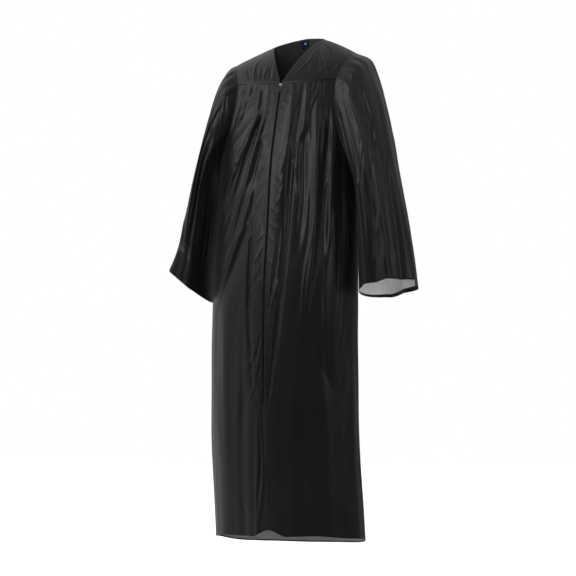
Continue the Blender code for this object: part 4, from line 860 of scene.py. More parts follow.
def shoulder_line(side, u):
    """The shoulder seam from the neck to the armhole."""
    u = np.asarray(u, float)[..., None]
    rise = SHOULDER_RISE_LEFT if side > 0 else SHOULDER_RISE_RIGHT
    return neck_side(side) * (1 - u) + shoulder(side) * u + np.array([0, 0, rise]) * 4 * u * (1 - u)


def v_edge(side, u):
    """The edge of the V neck from the shoulder down to the top of the zip."""
    start = neck_side(side)
    end = body_frame(side * math.degrees(ZIP_HALF_GAP / BODY["half_width"][0]), YOKE_SEAM_CENTRE)[0]
    over_shoulder = (side * 0.062, -0.030, start[2] - 0.008)
    return bezier([start, over_shoulder, (side * 0.030, -0.095, -0.065), end], u)


def yoke_arm_edge(side, back, u):
    """The yoke's edge at the armhole, from the shoulder down to the yoke seam."""
    start = shoulder(side)
    angle = side * YOKE_END_ANGLE
    end = body_frame(180 - angle if back else angle, YOKE_SEAM_END)[0]
    return bezier([start, (side * 0.164, 0.052 if back else -0.060, start[2] - 0.008), end], u)


def yoke_seam(angle, back):
    return body_frame(180 - angle if back else angle, seam_height(angle))[0]


def back_neck(u):
    """The back neck edge, u from 0 at the wearer's right shoulder to 1 at the left."""
    first = bezier([NECK_SIDE_RIGHT, (-0.058, 0.060, 0.014), NECK_BACK], np.minimum(2 * u, 1.0))
    second = bezier([NECK_BACK, (0.058, 0.060, 0.020), NECK_SIDE_LEFT], np.maximum(2 * u - 1, 0.0))
    return np.where((u < 0.5)[..., None], first, second)


def coons(top, bottom, left, right, us, vs):
    """The grid between four edges: top and bottom over us, left and right over vs."""
    u, v = us[None, :, None], vs[:, None, None]
    across = top[None] * (1 - v) + bottom[None] * v
    down = left[:, None] * (1 - u) + right[:, None] * u
    corners = (top[0] * (1 - u) + top[-1] * u) * (1 - v) + (bottom[0] * (1 - u) + bottom[-1] * u) * v
    return across + down - corners


def grid_normals(points, outward):
    """Unit normals of a grid of points, turned to the side that outward gives."""
    du = np.gradient(points, axis=1)
    dv = np.gradient(points, axis=0)
    normal = unit(np.cross(du, dv) + 1e-12)
    return normal * np.sign((normal * outward).sum(-1, keepdims=True).mean())


def lap_over(grid, angles, us, vs, creases, width):
    """The yoke's grid with its creases, its lower edge lying over the panel below."""
    down = vs[:, None] * YOKE_DROP + 0 * us[None]
    across = us[None] * width + 0 * vs[:, None]
    edges = fade(0, 0.05, us[None]) * fade(0, 0.05, 1 - us[None]) * fade(0, 0.08, vs[:, None])
    lift = edges * fade(0, 0.10, 1 - vs[:, None]) * crease_lift(across, down, on_yoke(creases, width))
    lift = lift + LAP_OUT * fade(0.93, 1.0, vs[:, None]) + 0 * us[None]
    grid = grid + grid_normals(grid, grid - np.array([0, -0.01, -0.12])) * lift[..., None]
    laps = []
    for share in (0.35, 0.7, 1.0):
        point, out, radius = body_frame(angles, seam_height(np.where(np.abs(angles) > 90, 180 - np.abs(angles), angles)))
        laps.append(point + out * LAP_OUT - np.array([0, 0, LAP * share]))
    return np.concatenate([grid, np.array(laps)])


def yoke_front_points(side, steps):
    us = np.linspace(0, 1, steps + 1)
    vs = np.linspace(0, 1, int(steps * 0.8) + 1)
    first = math.degrees(ZIP_HALF_GAP / BODY["half_width"][0])
    angles = side * (first + (YOKE_END_ANGLE - first) * us)
    bottom = yoke_seam(angles, False)
    grid = coons(shoulder_line(side, us), bottom, v_edge(side, vs), yoke_arm_edge(side, False, vs), us, vs)
    return grid, us, vs, angles


def yoke_back_points(steps):
    seam = (1 - NECK_SHARE) / 2
    us = np.linspace(0, 1, 3 * steps + 1)
    vs = np.linspace(0, 1, int(steps * 0.8) + 1)
    right = shoulder_line(-1, np.clip(1 - us / seam, 0, 1))
    left = shoulder_line(1, np.clip(1 - (1 - us) / seam, 0, 1))
    neck = back_neck(np.clip((us - seam) / NECK_SHARE, 0, 1))
    top = np.where((us < seam)[:, None], right, np.where((us > 1 - seam)[:, None], left, neck))
    angles = (2 * us - 1) * YOKE_END_ANGLE
    grid = coons(top, yoke_seam(angles, True), yoke_arm_edge(-1, True, vs), yoke_arm_edge(1, True, vs), us, vs)
    return grid, us, vs, 180 - angles


def armhole_loop(side, steps):
    """Points round the armhole from the shoulder down the front, under the arm and up the back."""
    shares = 1 - (1 - np.linspace(0, 1, steps + 1)) ** 1.8
    angles = armhole_angle(shares)
    heights = YOKE_SEAM_END + (UNDERARM_Z - YOKE_SEAM_END) * shares
    downs = np.linspace(0, 1, steps // 2 + 1)
    front = yoke_arm_edge(side, False, downs)[:-1]
    front_edge = body_frame(side * angles, heights)[0]
    back_edge = body_frame(180 - side * angles, heights)[0]
    back = yoke_arm_edge(side, True, downs)
    return np.concatenate([front, front_edge, back_edge[:-1][::-1], back[1:-1][::-1]])


def even_loop(points, count):
    """The closed line through the points, cut into equal steps."""
    closed = np.concatenate([points, points[:1]])
    lengths = np.concatenate([[0], np.cumsum(np.linalg.norm(np.diff(closed, axis=0), axis=1))])
    at = np.linspace(0, lengths[-1], count, endpoint=False)
    return np.stack([np.interp(at, lengths, closed[:, i]) for i in range(3)], -1), lengths[-1]


def ring_frame(sizes, share):
    """Centre, axes and half-sizes of the sleeve's ring at a share of its length."""
    value = {name: float(smooth(sizes["along"], sizes[name], share)) for name in sizes}
    outer = np.array([value["outer_x"], 0, value["outer_z"]])
    inner = np.array([value["inner_x"], 0, value["inner_z"]])
    deep = (value["back_y"] - value["front_y"]) / 2
    centre = (outer + inner) / 2 + np.array([0, (value["front_y"] + value["back_y"]) / 2, 0])
    up = unit(outer - inner)
    side = unit(np.array([0, deep, -value["back_drop"]]))
    away = unit(np.cross(up, side))
    high = np.linalg.norm(outer - inner) / 2
    return {"centre": centre, "up": up, "side": side, "away": away, "deep": deep, "high": high}


def sleeve_fold(folds, share, around, ring):
    """How far the sleeve's large folds lift its cloth here."""
    turn = np.radians(around)
    radius = np.hypot(ring["deep"] * np.cos(turn), ring["high"] * np.sin(turn))
    total = 0.0
    for row in folds:
        fold = named(SLEEVE_FOLD_COLUMNS, row)
        u = min(max((share - fold["top"]) / (fold["bottom"] - fold["top"]), 0.0), 1.0)
        at = through_three(fold["top_around"], fold["mid_around"], fold["bottom_around"], u)
        ends = fade(0, SLEEVE_FOLD_RISE, u)
        if fold["bottom"] < 1:
            ends = ends * (1 - fade(SLEEVE_FOLD_FALL, 1.0, u))
        apart = (around - at + 180) % 360 - 180
        total = total + fold["height"] * ends * bump(np.radians(apart) * radius, fold["half_width"])
    return total


def gather(share, from_top):
    """The small upright gathers round the top of the sleeve."""
    top_only = 1 - fade(GATHER_SPAN - GATHER_SPAN_FADE, GATHER_SPAN + GATHER_SPAN_FADE, from_top)
    reach = fade(0, GATHER_FULL, share) * (1 - fade(GATHER_FULL, GATHER_END, share))
    return 0.45 * GATHER_HEIGHT * reach * top_only * np.cos(np.pi * GATHER_COUNT * from_top / GATHER_SPAN)


def clear_of_body(points, clearance):
    """The points, moved out from the body's plain tube where they lie closer than the clearance."""
    z = points[..., 2]
    wide = body_value("half_width", z)
    apart = points[..., :2] - np.stack([body_value("centre_x", z), body_value("centre_y", z)], -1)
    deep = np.where(apart[..., 1] < 0, body_value("front_depth", z), body_value("back_depth", z))
    reach = np.hypot(apart[..., 0] / wide, apart[..., 1] / deep)
    slope = np.stack([apart[..., 0] / wide**2, apart[..., 1] / deep**2], -1) / reach[..., None]
    steep = np.linalg.norm(slope, axis=-1)
    short = np.clip(clearance - (reach - 1) / steep, 0, None)
    short = np.where(z > YOKE_SEAM_END, 0, short)
    moved = points.copy()
    moved[..., :2] += slope / steep[..., None] * short[..., None]
    return moved


def sleeve_points(side, rows, folds, creases, rings, count):
    """Rings of a sleeve from the armhole to the cuff, and each point's place round its ring in degrees."""
    sizes = table(SLEEVE_COLUMNS, rows)
    loop, length = even_loop(armhole_loop(side, 60), count)
    first = ring_frame(sizes, 0.0)
    rest = loop - first["centre"]
    p, q, r = (rest @ first[axis] for axis in ("up", "side", "away"))
    own_turn = np.arctan2(q / first["deep"], p / first["high"])
    along_ring = np.arange(count) / count
    from_top = np.minimum(along_ring, 1 - along_ring) * length
    short_way = (-2 * np.pi * along_ring - own_turn + np.pi) % (2 * np.pi) - np.pi
    lines = on_sleeve(creases)
    grid = [loop * np.array([1, 0.97, 1]) - np.array([side * TUCK, 0, 0])]
    places = [(-np.degrees(own_turn) + 180) % 360 - 180]
    for share in np.linspace(0, 1, rings + 1):
        ring = ring_frame(sizes, share)
        keep = 1 - fade(0.0, OVAL_SHARE, share)
        turn = own_turn + short_way * fade(*EVEN_SHARES, share)
        up = keep * p * ring["high"] / first["high"] + (1 - keep) * ring["high"] * np.cos(turn)
        over = keep * q * ring["deep"] / first["deep"] + (1 - keep) * ring["deep"] * np.sin(turn)
        point = ring["centre"] + up[:, None] * ring["up"] + over[:, None] * ring["side"]
        point = point + (r * keep)[:, None] * ring["away"]
        out = unit(np.cos(turn)[:, None] / ring["high"] * ring["up"] + np.sin(turn)[:, None] / ring["deep"] * ring["side"])
        around = (-np.degrees(turn) + 180) % 360 - 180
        lift = sleeve_fold(folds, share, around, ring) + gather(share, from_top)
        flat = np.radians(around) * SLEEVE_RADIUS
        down = np.full(count, share * SLEEVE_LENGTH)
        small = crease_lift(flat, down, lines) + unevenness(flat + side, down) * np.cos(np.radians(around) / 2) ** 2
        lift = lift + fade(0, 0.05, share) * small + hem_line((1 - share) * SLEEVE_LENGTH)
        grid.append(clear_of_body(point + out * lift[:, None], BODY_CLEARANCE * fade(0, CLEARANCE_SHARE, share)))
        places.append(around)
    return np.array(grid), np.array(places)


def make_material(name, colour, roughness, metallic=0.0, sheen=0.0, anisotropic=0.0, specular=0.5):
    """A new Principled material with its constant values set on the shader."""
    made = bpy.data.materials.new(name)
    made.use_nodes = True
    shader = made.node_tree.nodes["Principled BSDF"]
    shader.inputs["Base Color"].default_value = (*colour, 1)
    shader.inputs["Roughness"].default_value = roughness
    shader.inputs["Metallic"].default_value = metallic
    shader.inputs["Sheen Weight"].default_value = sheen
    shader.inputs["Anisotropic"].default_value = anisotropic
    shader.inputs["Specular IOR Level"].default_value = specular
    made.diffuse_color = (*colour, 1)
    return made, made.node_tree, shader


def add_node(tree, kind, **values):
    node = tree.nodes.new(kind)
    for name, value in values.items():
        if name in node.inputs:
            node.inputs[name].default_value = value
        else:
            setattr(node, name, value)
    return node


def cloth_material(name, colour, roughness, sheen, specular=0.5, crinkle=0.25):
    """Satin: a fine weave along the cloth, slow changes of tone and gloss, and small crinkles."""
    made, tree, shader = make_material(name, colour, roughness, sheen=sheen, specular=specular)
    link = tree.links.new
    place = add_node(tree, "ShaderNodeTexCoord")
    weave = add_node(tree, "ShaderNodeTexWave", Scale=900.0, Distortion=0.4)
    weave.bands_direction = "X"
    link(place.outputs["UV"], weave.inputs["Vector"])
    stretch = add_node(tree, "ShaderNodeMapping")
    stretch.inputs["Scale"].default_value = (70.0, 16.0, 1.0)
    link(place.outputs["UV"], stretch.inputs["Vector"])
    small = add_node(tree, "ShaderNodeTexNoise", Scale=1.0, Detail=3.0, Roughness=0.5)
    link(stretch.outputs["Vector"], small.inputs["Vector"])
    slow = add_node(tree, "ShaderNodeTexNoise", Scale=7.0, Detail=2.0)
    link(place.outputs["Object"], slow.inputs["Vector"])
    gloss = add_node(tree, "ShaderNodeMapRange")
    gloss.inputs["To Min"].default_value = roughness - 0.05
    gloss.inputs["To Max"].default_value = roughness + 0.06
    link(slow.outputs["Fac"], gloss.inputs["Value"])
    link(gloss.outputs["Result"], shader.inputs["Roughness"])
    tone = add_node(tree, "ShaderNodeMix", data_type="RGBA")
    mix_colours(tone, [0.75 * c for c in colour], [1.3 * c for c in colour])
    link(slow.outputs["Fac"], tone.inputs["Factor"])
    link(tone.outputs["Result"], shader.inputs["Base Color"])
    fine = add_node(tree, "ShaderNodeBump", Strength=0.10, Distance=0.0002)
    link(weave.outputs["Fac"], fine.inputs["Height"])
    soft = add_node(tree, "ShaderNodeBump", Strength=crinkle, Distance=0.0012)
    link(small.outputs["Fac"], soft.inputs["Height"])
    link(fine.outputs["Normal"], soft.inputs["Normal"])
    link(soft.outputs["Normal"], shader.inputs["Normal"])
    return made


def shared(name, make):
    """The material of this name, made the first time that it is asked for."""
    return bpy.data.materials.get(name) or make()


def satin():
    cloth = bpy.context.scene.gown_cloth
    return shared("Satin", lambda: cloth_material("Satin", cloth.outside, cloth.roughness, 0.06, 0.5))


# Painted sheen: the sleeves' inside in the pale lit grey.
def sleeve_sheen_inside():
    cloth = bpy.context.scene.gown_cloth
    return shared("Satin wrong side painted sheen", lambda: cloth_material("Satin wrong side painted sheen", cloth.inside, 0.7, 0.1, 0.2))


# Painted shade: the body panels' inside in the darker shaded grey.
def panel_shaded_inside():
    cloth = bpy.context.scene.gown_cloth
    return shared("Panel wrong side painted shade", lambda: cloth_material("Panel wrong side painted shade", cloth.panel_painted_shade, 0.7, 0.1, 0.2))


def yoke_shaded_inside():
    cloth = bpy.context.scene.gown_cloth
    # Painted shade: the yokes' inside at 0.4 of the body's grey, darker still inside the neck.
    dim = [0.4 * c for c in cloth.panel_painted_shade]
    return shared("Yoke wrong side painted shade", lambda: cloth_material("Yoke wrong side painted shade", dim, 0.7, 0.1, 0.2))


def woven(name, colour, other, roughness, scale):
    """A ribbed narrow weave of two shades."""
    made, tree, shader = make_material(name, colour, roughness, sheen=0.1, specular=0.3)
    link = tree.links.new
    place = add_node(tree, "ShaderNodeTexCoord")
    rib = add_node(tree, "ShaderNodeTexWave", Scale=scale, Distortion=0.6)
    rib.bands_direction = "Y"
    link(place.outputs["UV"], rib.inputs["Vector"])
    warp = add_node(tree, "ShaderNodeTexWave", Scale=scale * 1.4, Distortion=0.3)
    link(place.outputs["UV"], warp.inputs["Vector"])
    both = add_node(tree, "ShaderNodeMath", operation="MULTIPLY")
    link(rib.outputs["Fac"], both.inputs[0])
    link(warp.outputs["Fac"], both.inputs[1])
    tone = add_node(tree, "ShaderNodeMix", data_type="RGBA")
    mix_colours(tone, colour, other)
    link(both.outputs["Value"], tone.inputs["Factor"])
    link(tone.outputs["Result"], shader.inputs["Base Color"])
    raised = add_node(tree, "ShaderNodeBump", Strength=0.5, Distance=0.0003)
    link(both.outputs["Value"], raised.inputs["Height"])
    link(raised.outputs["Normal"], shader.inputs["Normal"])
    return made, tree, tone, shader


def mix_colours(node, first, second):
    """Set the two colours of a colour Mix node."""
    colours = [socket for socket in node.inputs if socket.type == "RGBA"]
    colours[0].default_value = (*first, 1)
    colours[1].default_value = (*second, 1)


def tape_weave():
    return shared("Zip tape", lambda: woven("Zip tape", (0.008, 0.008, 0.009), (0.020, 0.020, 0.021), 0.8, 500.0)[0])


def label_weave():
    """Navy weave with a plain pale square woven in its middle."""
    if bpy.data.materials.get("Label weave"):
        return bpy.data.materials["Label weave"]
    made, tree, tone, shader = woven("Label weave", (0.008, 0.014, 0.055), (0.020, 0.035, 0.120), 0.7, 420.0)
    link = tree.links.new
    place = add_node(tree, "ShaderNodeTexCoord")
    apart = add_node(tree, "ShaderNodeVectorMath", operation="DISTANCE")
    apart.inputs[1].default_value = (0.0125, 0.0085, 0)
    link(place.outputs["UV"], apart.inputs[0])
    inside = add_node(tree, "ShaderNodeMapRange")
    inside.inputs["From Min"].default_value = 0.0030
    inside.inputs["From Max"].default_value = 0.0034
    inside.inputs["To Min"].default_value = 1.0
    inside.inputs["To Max"].default_value = 0.0
    link(apart.outputs["Value"], inside.inputs["Value"])
    mark = add_node(tree, "ShaderNodeMix", data_type="RGBA")
    mix_colours(mark, (0, 0, 0), (0.42, 0.55, 0.80))
    link(inside.outputs["Result"], mark.inputs["Factor"])
    colours = [socket for socket in mark.inputs if socket.type == "RGBA"]
    link(tone.outputs["Result"], colours[0])
    link(mark.outputs["Result"], shader.inputs["Base Color"])
    return made


def noisy(name, colour, other, roughness, metallic, scale, grain):
    """A hard finish with a fine grain and slight changes of tone and gloss."""
    made, tree, shader = make_material(name, colour, roughness, metallic=metallic)
    link = tree.links.new
    place = add_node(tree, "ShaderNodeTexCoord")
    noise = add_node(tree, "ShaderNodeTexNoise", Scale=scale, Detail=4.0)
    link(place.outputs["Object"], noise.inputs["Vector"])
    tone = add_node(tree, "ShaderNodeMix", data_type="RGBA")
    mix_colours(tone, colour, other)
    link(noise.outputs["Fac"], tone.inputs["Factor"])
    link(tone.outputs["Result"], shader.inputs["Base Color"])
    gloss = add_node(tree, "ShaderNodeMapRange")
    gloss.inputs["To Min"].default_value = roughness - 0.08
    gloss.inputs["To Max"].default_value = roughness + 0.10
    link(noise.outputs["Fac"], gloss.inputs["Value"])
    link(gloss.outputs["Result"], shader.inputs["Roughness"])
    raised = add_node(tree, "ShaderNodeBump", Strength=grain, Distance=0.0001)
    link(noise.outputs["Fac"], raised.inputs["Height"])
    link(raised.outputs["Normal"], shader.inputs["Normal"])
    return made


def thread():
    return shared("Thread", lambda: noisy("Thread", (0.012, 0.012, 0.013), (0.030, 0.030, 0.032), 0.5, 0.0, 3000.0, 0.3))


def coil_plastic():
    return shared("Zip coil", lambda: noisy("Zip coil", (0.010, 0.010, 0.011), (0.022, 0.022, 0.024), 0.4, 0.0, 900.0, 0.1))


def slider_metal():
    return shared("Slider metal", lambda: noisy("Slider metal", (0.50, 0.50, 0.52), (0.62, 0.62, 0.63), 0.32, 1.0, 700.0, 0.1))


def pull_enamel():
    return shared("Pull enamel", lambda: noisy("Pull enamel", (0.018, 0.018, 0.020), (0.034, 0.034, 0.036), 0.35, 0.4, 700.0, 0.1))


def sheet_object(name, points, outside, inside, closed=False, flip=False, hem_rows=0):
    """A thin shell through a grid of points, its wrong side in its own material and its hem turned up."""
    rows, columns = points.shape[:2]
    index = np.arange(rows * columns).reshape(rows, columns)
    after = np.roll(index, -1, axis=1) if closed else index[:, 1:]
    before = index if closed else index[:, :-1]
    faces = np.stack([before[:-1], after[:-1], after[1:], before[1:]], -1).reshape(-1, 4)
    us = np.concatenate([[0], np.cumsum(np.linalg.norm(np.diff(points[rows // 2], axis=0), axis=1))])
    if closed:
        us = np.append(us, us[-1] + np.linalg.norm(points[rows // 2, 0] - points[rows // 2, -1]))
    vs = np.concatenate([[0], np.cumsum(np.linalg.norm(np.diff(points[:, columns // 2], axis=0), axis=1))])
    column = np.tile(np.arange(before.shape[1]), rows - 1)
    row = np.repeat(np.arange(rows - 1), before.shape[1])
    corner_u = np.stack([us[column], us[column + 1], us[column + 1], us[column]], -1)
    corner_v = np.stack([vs[row], vs[row], vs[row + 1], vs[row + 1]], -1)
    if flip:
        faces, corner_u, corner_v = faces[:, ::-1], corner_u[:, ::-1], corner_v[:, ::-1]
    mesh = bpy.data.meshes.new(name)
    mesh.from_pydata(points.reshape(-1, 3).tolist(), [], faces.tolist())
    layer = mesh.uv_layers.new(name="UVMap")
    layer.data.foreach_set("uv", np.stack([corner_u.ravel(), corner_v.ravel()], -1).ravel())
    for finish in (outside, inside, outside, outside):
        mesh.materials.append(finish)
    band = (row >= rows - 1 - hem_rows).astype(np.int32) * 2
    mesh.polygons.foreach_set("material_index", band)
    mesh.shade_smooth()
    piece = bpy.data.objects.new(name, mesh)
    bpy.context.scene.collection.objects.link(piece)
    wall = piece.modifiers.new("Wall", "SOLIDIFY")
    wall.thickness = bpy.context.scene.gown_cloth.thickness
    wall.offset = -1
    wall.material_offset = 1
    apply_modifiers(piece)
    return piece


def apply_modifiers(piece):
    bpy.ops.object.select_all(action="DESELECT")
    piece.select_set(True)
    bpy.context.view_layer.objects.active = piece
    for modifier in list(piece.modifiers):
        bpy.ops.object.modifier_apply(modifier=modifier.name)


def dress(piece, nodes):
    """The piece stands for its nodes as a sheet of cloth on the gown."""
    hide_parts(*nodes)
    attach(piece, "gown")


def closest_rows(values, wanted):
    """The row of a grid whose own value is nearest to the one wanted."""
    return int(np.abs(np.asarray(values) - wanted).argmin())


def stitch_run(line, normals, sizes):
    """Stitches along a line: each is a small tapered bar that lies on the cloth."""
    lengths = np.concatenate([[0], np.cumsum(np.linalg.norm(np.diff(line, axis=0), axis=1))])
    starts = np.arange(sizes.gap, lengths[-1] - sizes.length, sizes.length + sizes.gap)
    corners = []
    for share in (0.0, 0.5, 1.0):
        at = starts + share * sizes.length
        place = np.stack([np.interp(at, lengths, line[:, i]) for i in range(3)], -1)
        out = unit(np.stack([np.interp(at, lengths, normals[:, i]) for i in range(3)], -1))
        corners.append((place, out))
    along = unit(corners[2][0] - corners[0][0])
    middle, out = corners[1]
    side = np.cross(along, out)
    thread = sizes.radius
    ring = [middle + out * thread * 1.5, middle + side * thread, middle - out * 0.5 * thread, middle - side * thread]
    return np.stack([corners[0][0], *ring, corners[2][0]], axis=1)


STITCH_FACES = ((0, 2, 1), (0, 3, 2), (0, 4, 3), (0, 1, 4), (5, 1, 2), (5, 2, 3), (5, 3, 4), (5, 4, 1))


def stitches(name, runs):
    """One piece of all the stitches along these lines of cloth."""
    sizes = bpy.context.scene.gown_stitching
    groups = np.concatenate([stitch_run(line, normals, sizes) for line, normals in runs])
    count = len(groups)
    faces = (np.array(STITCH_FACES)[None] + 6 * np.arange(count)[:, None, None]).reshape(-1, 3)
    piece = plain_object(name, groups.reshape(-1, 3), faces, thread())
    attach(piece, "gown")
    return piece


def plain_object(name, points, faces, finish):
    mesh = bpy.data.meshes.new(name)
    mesh.from_pydata(np.asarray(points).tolist(), [], np.asarray(faces).tolist())
    mesh.materials.append(finish)
    mesh.shade_smooth()
    piece = bpy.data.objects.new(name, mesh)
    bpy.context.scene.collection.objects.link(piece)
    return piece


def surfaces():
    """The grids of the three large panels and the three yokes."""
    sizes = bpy.context.scene.gown_mesh
    made = {}
    for name, side, folds, creases in (
        ("left", 1, FRONT_LEFT_FOLDS, FRONT_LEFT_CREASES),
        ("right", -1, FRONT_RIGHT_FOLDS, FRONT_RIGHT_CREASES),
    ):
        made["front_" + name] = front_points(side, folds, creases, sizes)
        grid, us, vs, angles = yoke_front_points(side, sizes.yoke_steps)
        creases = YOKE_LEFT_CREASES if side > 0 else YOKE_RIGHT_CREASES
        made["yoke_front_" + name] = lap_over(grid, angles, us, vs, creases, YOKE_WIDTH)
    made["back"] = back_points(sizes)
    grid, us, vs, angles = yoke_back_points(sizes.yoke_steps)
    made["yoke_back"] = lap_over(grid, angles, us, vs, YOKE_BACK_CREASES, YOKE_BACK_WIDTH)
    return made


def outward(points):
    """Unit normals of a grid of the gown's body, pointing away from its middle line."""
    middle = np.array([0, -0.03, 0]) * np.ones_like(points)
    middle[..., 2] = np.minimum(points[..., 2], -0.10)
    return grid_normals(points, points - middle)


class GOWN_OT_fronts(bpy.types.Operator):
    """Make the two front panels"""

    bl_idname = "gown.fronts"
    bl_label = "Front panels"

    def execute(self, context):
        sizes = context.scene.gown_mesh
        for name, side, folds, creases in (
            ("front_left", 1, FRONT_LEFT_FOLDS, FRONT_LEFT_CREASES),
            ("front_right", -1, FRONT_RIGHT_FOLDS, FRONT_RIGHT_CREASES),
        ):
            points = front_points(side, folds, creases, sizes)
            piece = sheet_object("satin_" + name, points, satin(), panel_shaded_inside(), flip=side > 0, hem_rows=2)
            dress(piece, [name])
        return {"FINISHED"}


class GOWN_OT_back(bpy.types.Operator):
    """Make the back panel"""

    bl_idname = "gown.back"
    bl_label = "Back panel"

    def execute(self, context):
        points = back_points(context.scene.gown_mesh)
        piece = sheet_object("satin_back", points, satin(), panel_shaded_inside(), hem_rows=1)
        dress(piece, ["back"])
        return {"FINISHED"}


class GOWN_OT_yokes(bpy.types.Operator):
    """Make the two front yokes and the back yoke, each lapped over the panel below it"""

    bl_idname = "gown.yokes"
    bl_label = "Yokes"

    def execute(self, context):
        made = surfaces()
        for name, side in (("yoke_front_left", 1), ("yoke_front_right", -1)):
            piece = sheet_object("satin_" + name, made[name], satin(), yoke_shaded_inside(), flip=side > 0)
            dress(piece, [name])
        piece = sheet_object("satin_yoke_back", made["yoke_back"], satin(), yoke_shaded_inside())
        dress(piece, ["yoke_back"])
        return {"FINISHED"}


class GOWN_OT_sleeves(bpy.types.Operator):
    """Make the two bell sleeves"""

    bl_idname = "gown.sleeves"
    bl_label = "Sleeves"

    def execute(self, context):
        sizes = context.scene.gown_mesh
        runs = []
        for name, side, rows, folds, creases, area in (
            ("sleeve_left", 1, SLEEVE_LEFT_ROWS, SLEEVE_LEFT_FOLDS, SLEEVE_LEFT_CREASES + SLEEVE_LEFT_BACK_CREASES, 0.32),
            ("sleeve_right", -1, SLEEVE_RIGHT_ROWS, SLEEVE_RIGHT_FOLDS, SLEEVE_RIGHT_CREASES + SLEEVE_RIGHT_BACK_CREASES, 0.27),
        ):
            points, places = sleeve_points(side, rows, folds, creases, sizes.sleeve_rings, sizes.sleeve_columns)
            piece = sheet_object("satin_" + name, points, satin(), sleeve_sheen_inside(), closed=True, flip=side < 0, hem_rows=3)
            dress(piece, [name])
            ring = points[closest_rows(np.linspace(0, 1, len(points)), 1 - HEM_DEPTH / SLEEVE_LENGTH)]
            out = unit(ring - ring.mean(axis=0))
            runs.append((np.concatenate([ring, ring[:1]]), np.concatenate([out, out[:1]])))
        stitches("stitches_cuffs", runs)
        return {"FINISHED"}


class GOWN_OT_stitching(bpy.types.Operator):
    """Make the topstitching of the yokes, neck, zip and hems"""

    bl_idname = "gown.stitching"
    bl_label = "Stitching"

    def execute(self, context):
        made = surfaces()
        normals = {name: outward(points) for name, points in made.items()}
        yokes, hems, zips = [], [], []
        for name in ("yoke_front_left", "yoke_front_right", "yoke_back"):
            points, out = made[name], normals[name]
            rows = len(points) - 3
            low = closest_rows(np.linspace(0, 1, rows), 1 - 0.004 / YOKE_DROP)
            yokes.append((points[low], out[low]))
            shoulder_row = closest_rows(np.linspace(0, 1, rows), 0.004 / YOKE_DROP)
            yokes.append((points[shoulder_row], out[shoulder_row]))
            if name != "yoke_back":
                column = closest_rows(np.linspace(0, 1, points.shape[1]), 0.004 / YOKE_WIDTH)
                yokes.append((points[:, column], out[:, column]))
        for name in ("front_left", "front_right", "back"):
            points, out = made[name], normals[name]
            row = closest_rows(points[:, points.shape[1] // 2, 2], points[-1, points.shape[1] // 2, 2] + HEM_DEPTH)
            hems.append((points[row], out[row]))
            if name != "back":
                beside = np.linalg.norm(points[100] - points[100, 0], axis=-1)
                column = closest_rows(beside, 0.006)
                used = points[:, column, 2] > ZIP_BOTTOM
                zips.append((points[used, column], out[used, column]))
        stitches("stitches_yokes", yokes)
        stitches("stitches_hem", hems)
        stitches("stitches_zip", zips)
        return {"FINISHED"}


def along_zip(across, heights, depth):
    """Points on the zip's line at a distance across it and a depth behind the cloth's face."""
    angle = np.degrees(np.arcsin(across / body_value("half_width", heights)))
    point, out, radius = body_frame(angle, heights)
    return point - out * depth


def zip_frame():
    """Place and tilt of the slider on the zip's line."""
    upper = body_frame(0, SLIDER_Z + SLIDER_TOP)[0]
    lower = body_frame(0, SLIDER_Z - PULL_LENGTH)[0]
    tilt = math.atan2(upper[1] - lower[1], upper[2] - lower[2])
    return Matrix.Translation(body_frame(0, SLIDER_Z)[0]) @ Matrix.Rotation(-tilt, 4, "X")


def new_block(name, low, high, finish, bevel=0.0003):
    """A block between two corners with rounded edges."""
    bpy.ops.object.select_all(action="DESELECT")
    size = Vector(high) - Vector(low)
    bpy.ops.mesh.primitive_cube_add(size=1, location=(Vector(high) + Vector(low)) / 2, scale=size)
    block = bpy.context.object
    block.name = name
    bpy.ops.object.transform_apply(location=True, rotation=True, scale=True)
    block.data.materials.append(finish)
    rounded = block.modifiers.new("Round", "BEVEL")
    rounded.width = bevel
    rounded.segments = 3
    apply_modifiers(block)
    return block


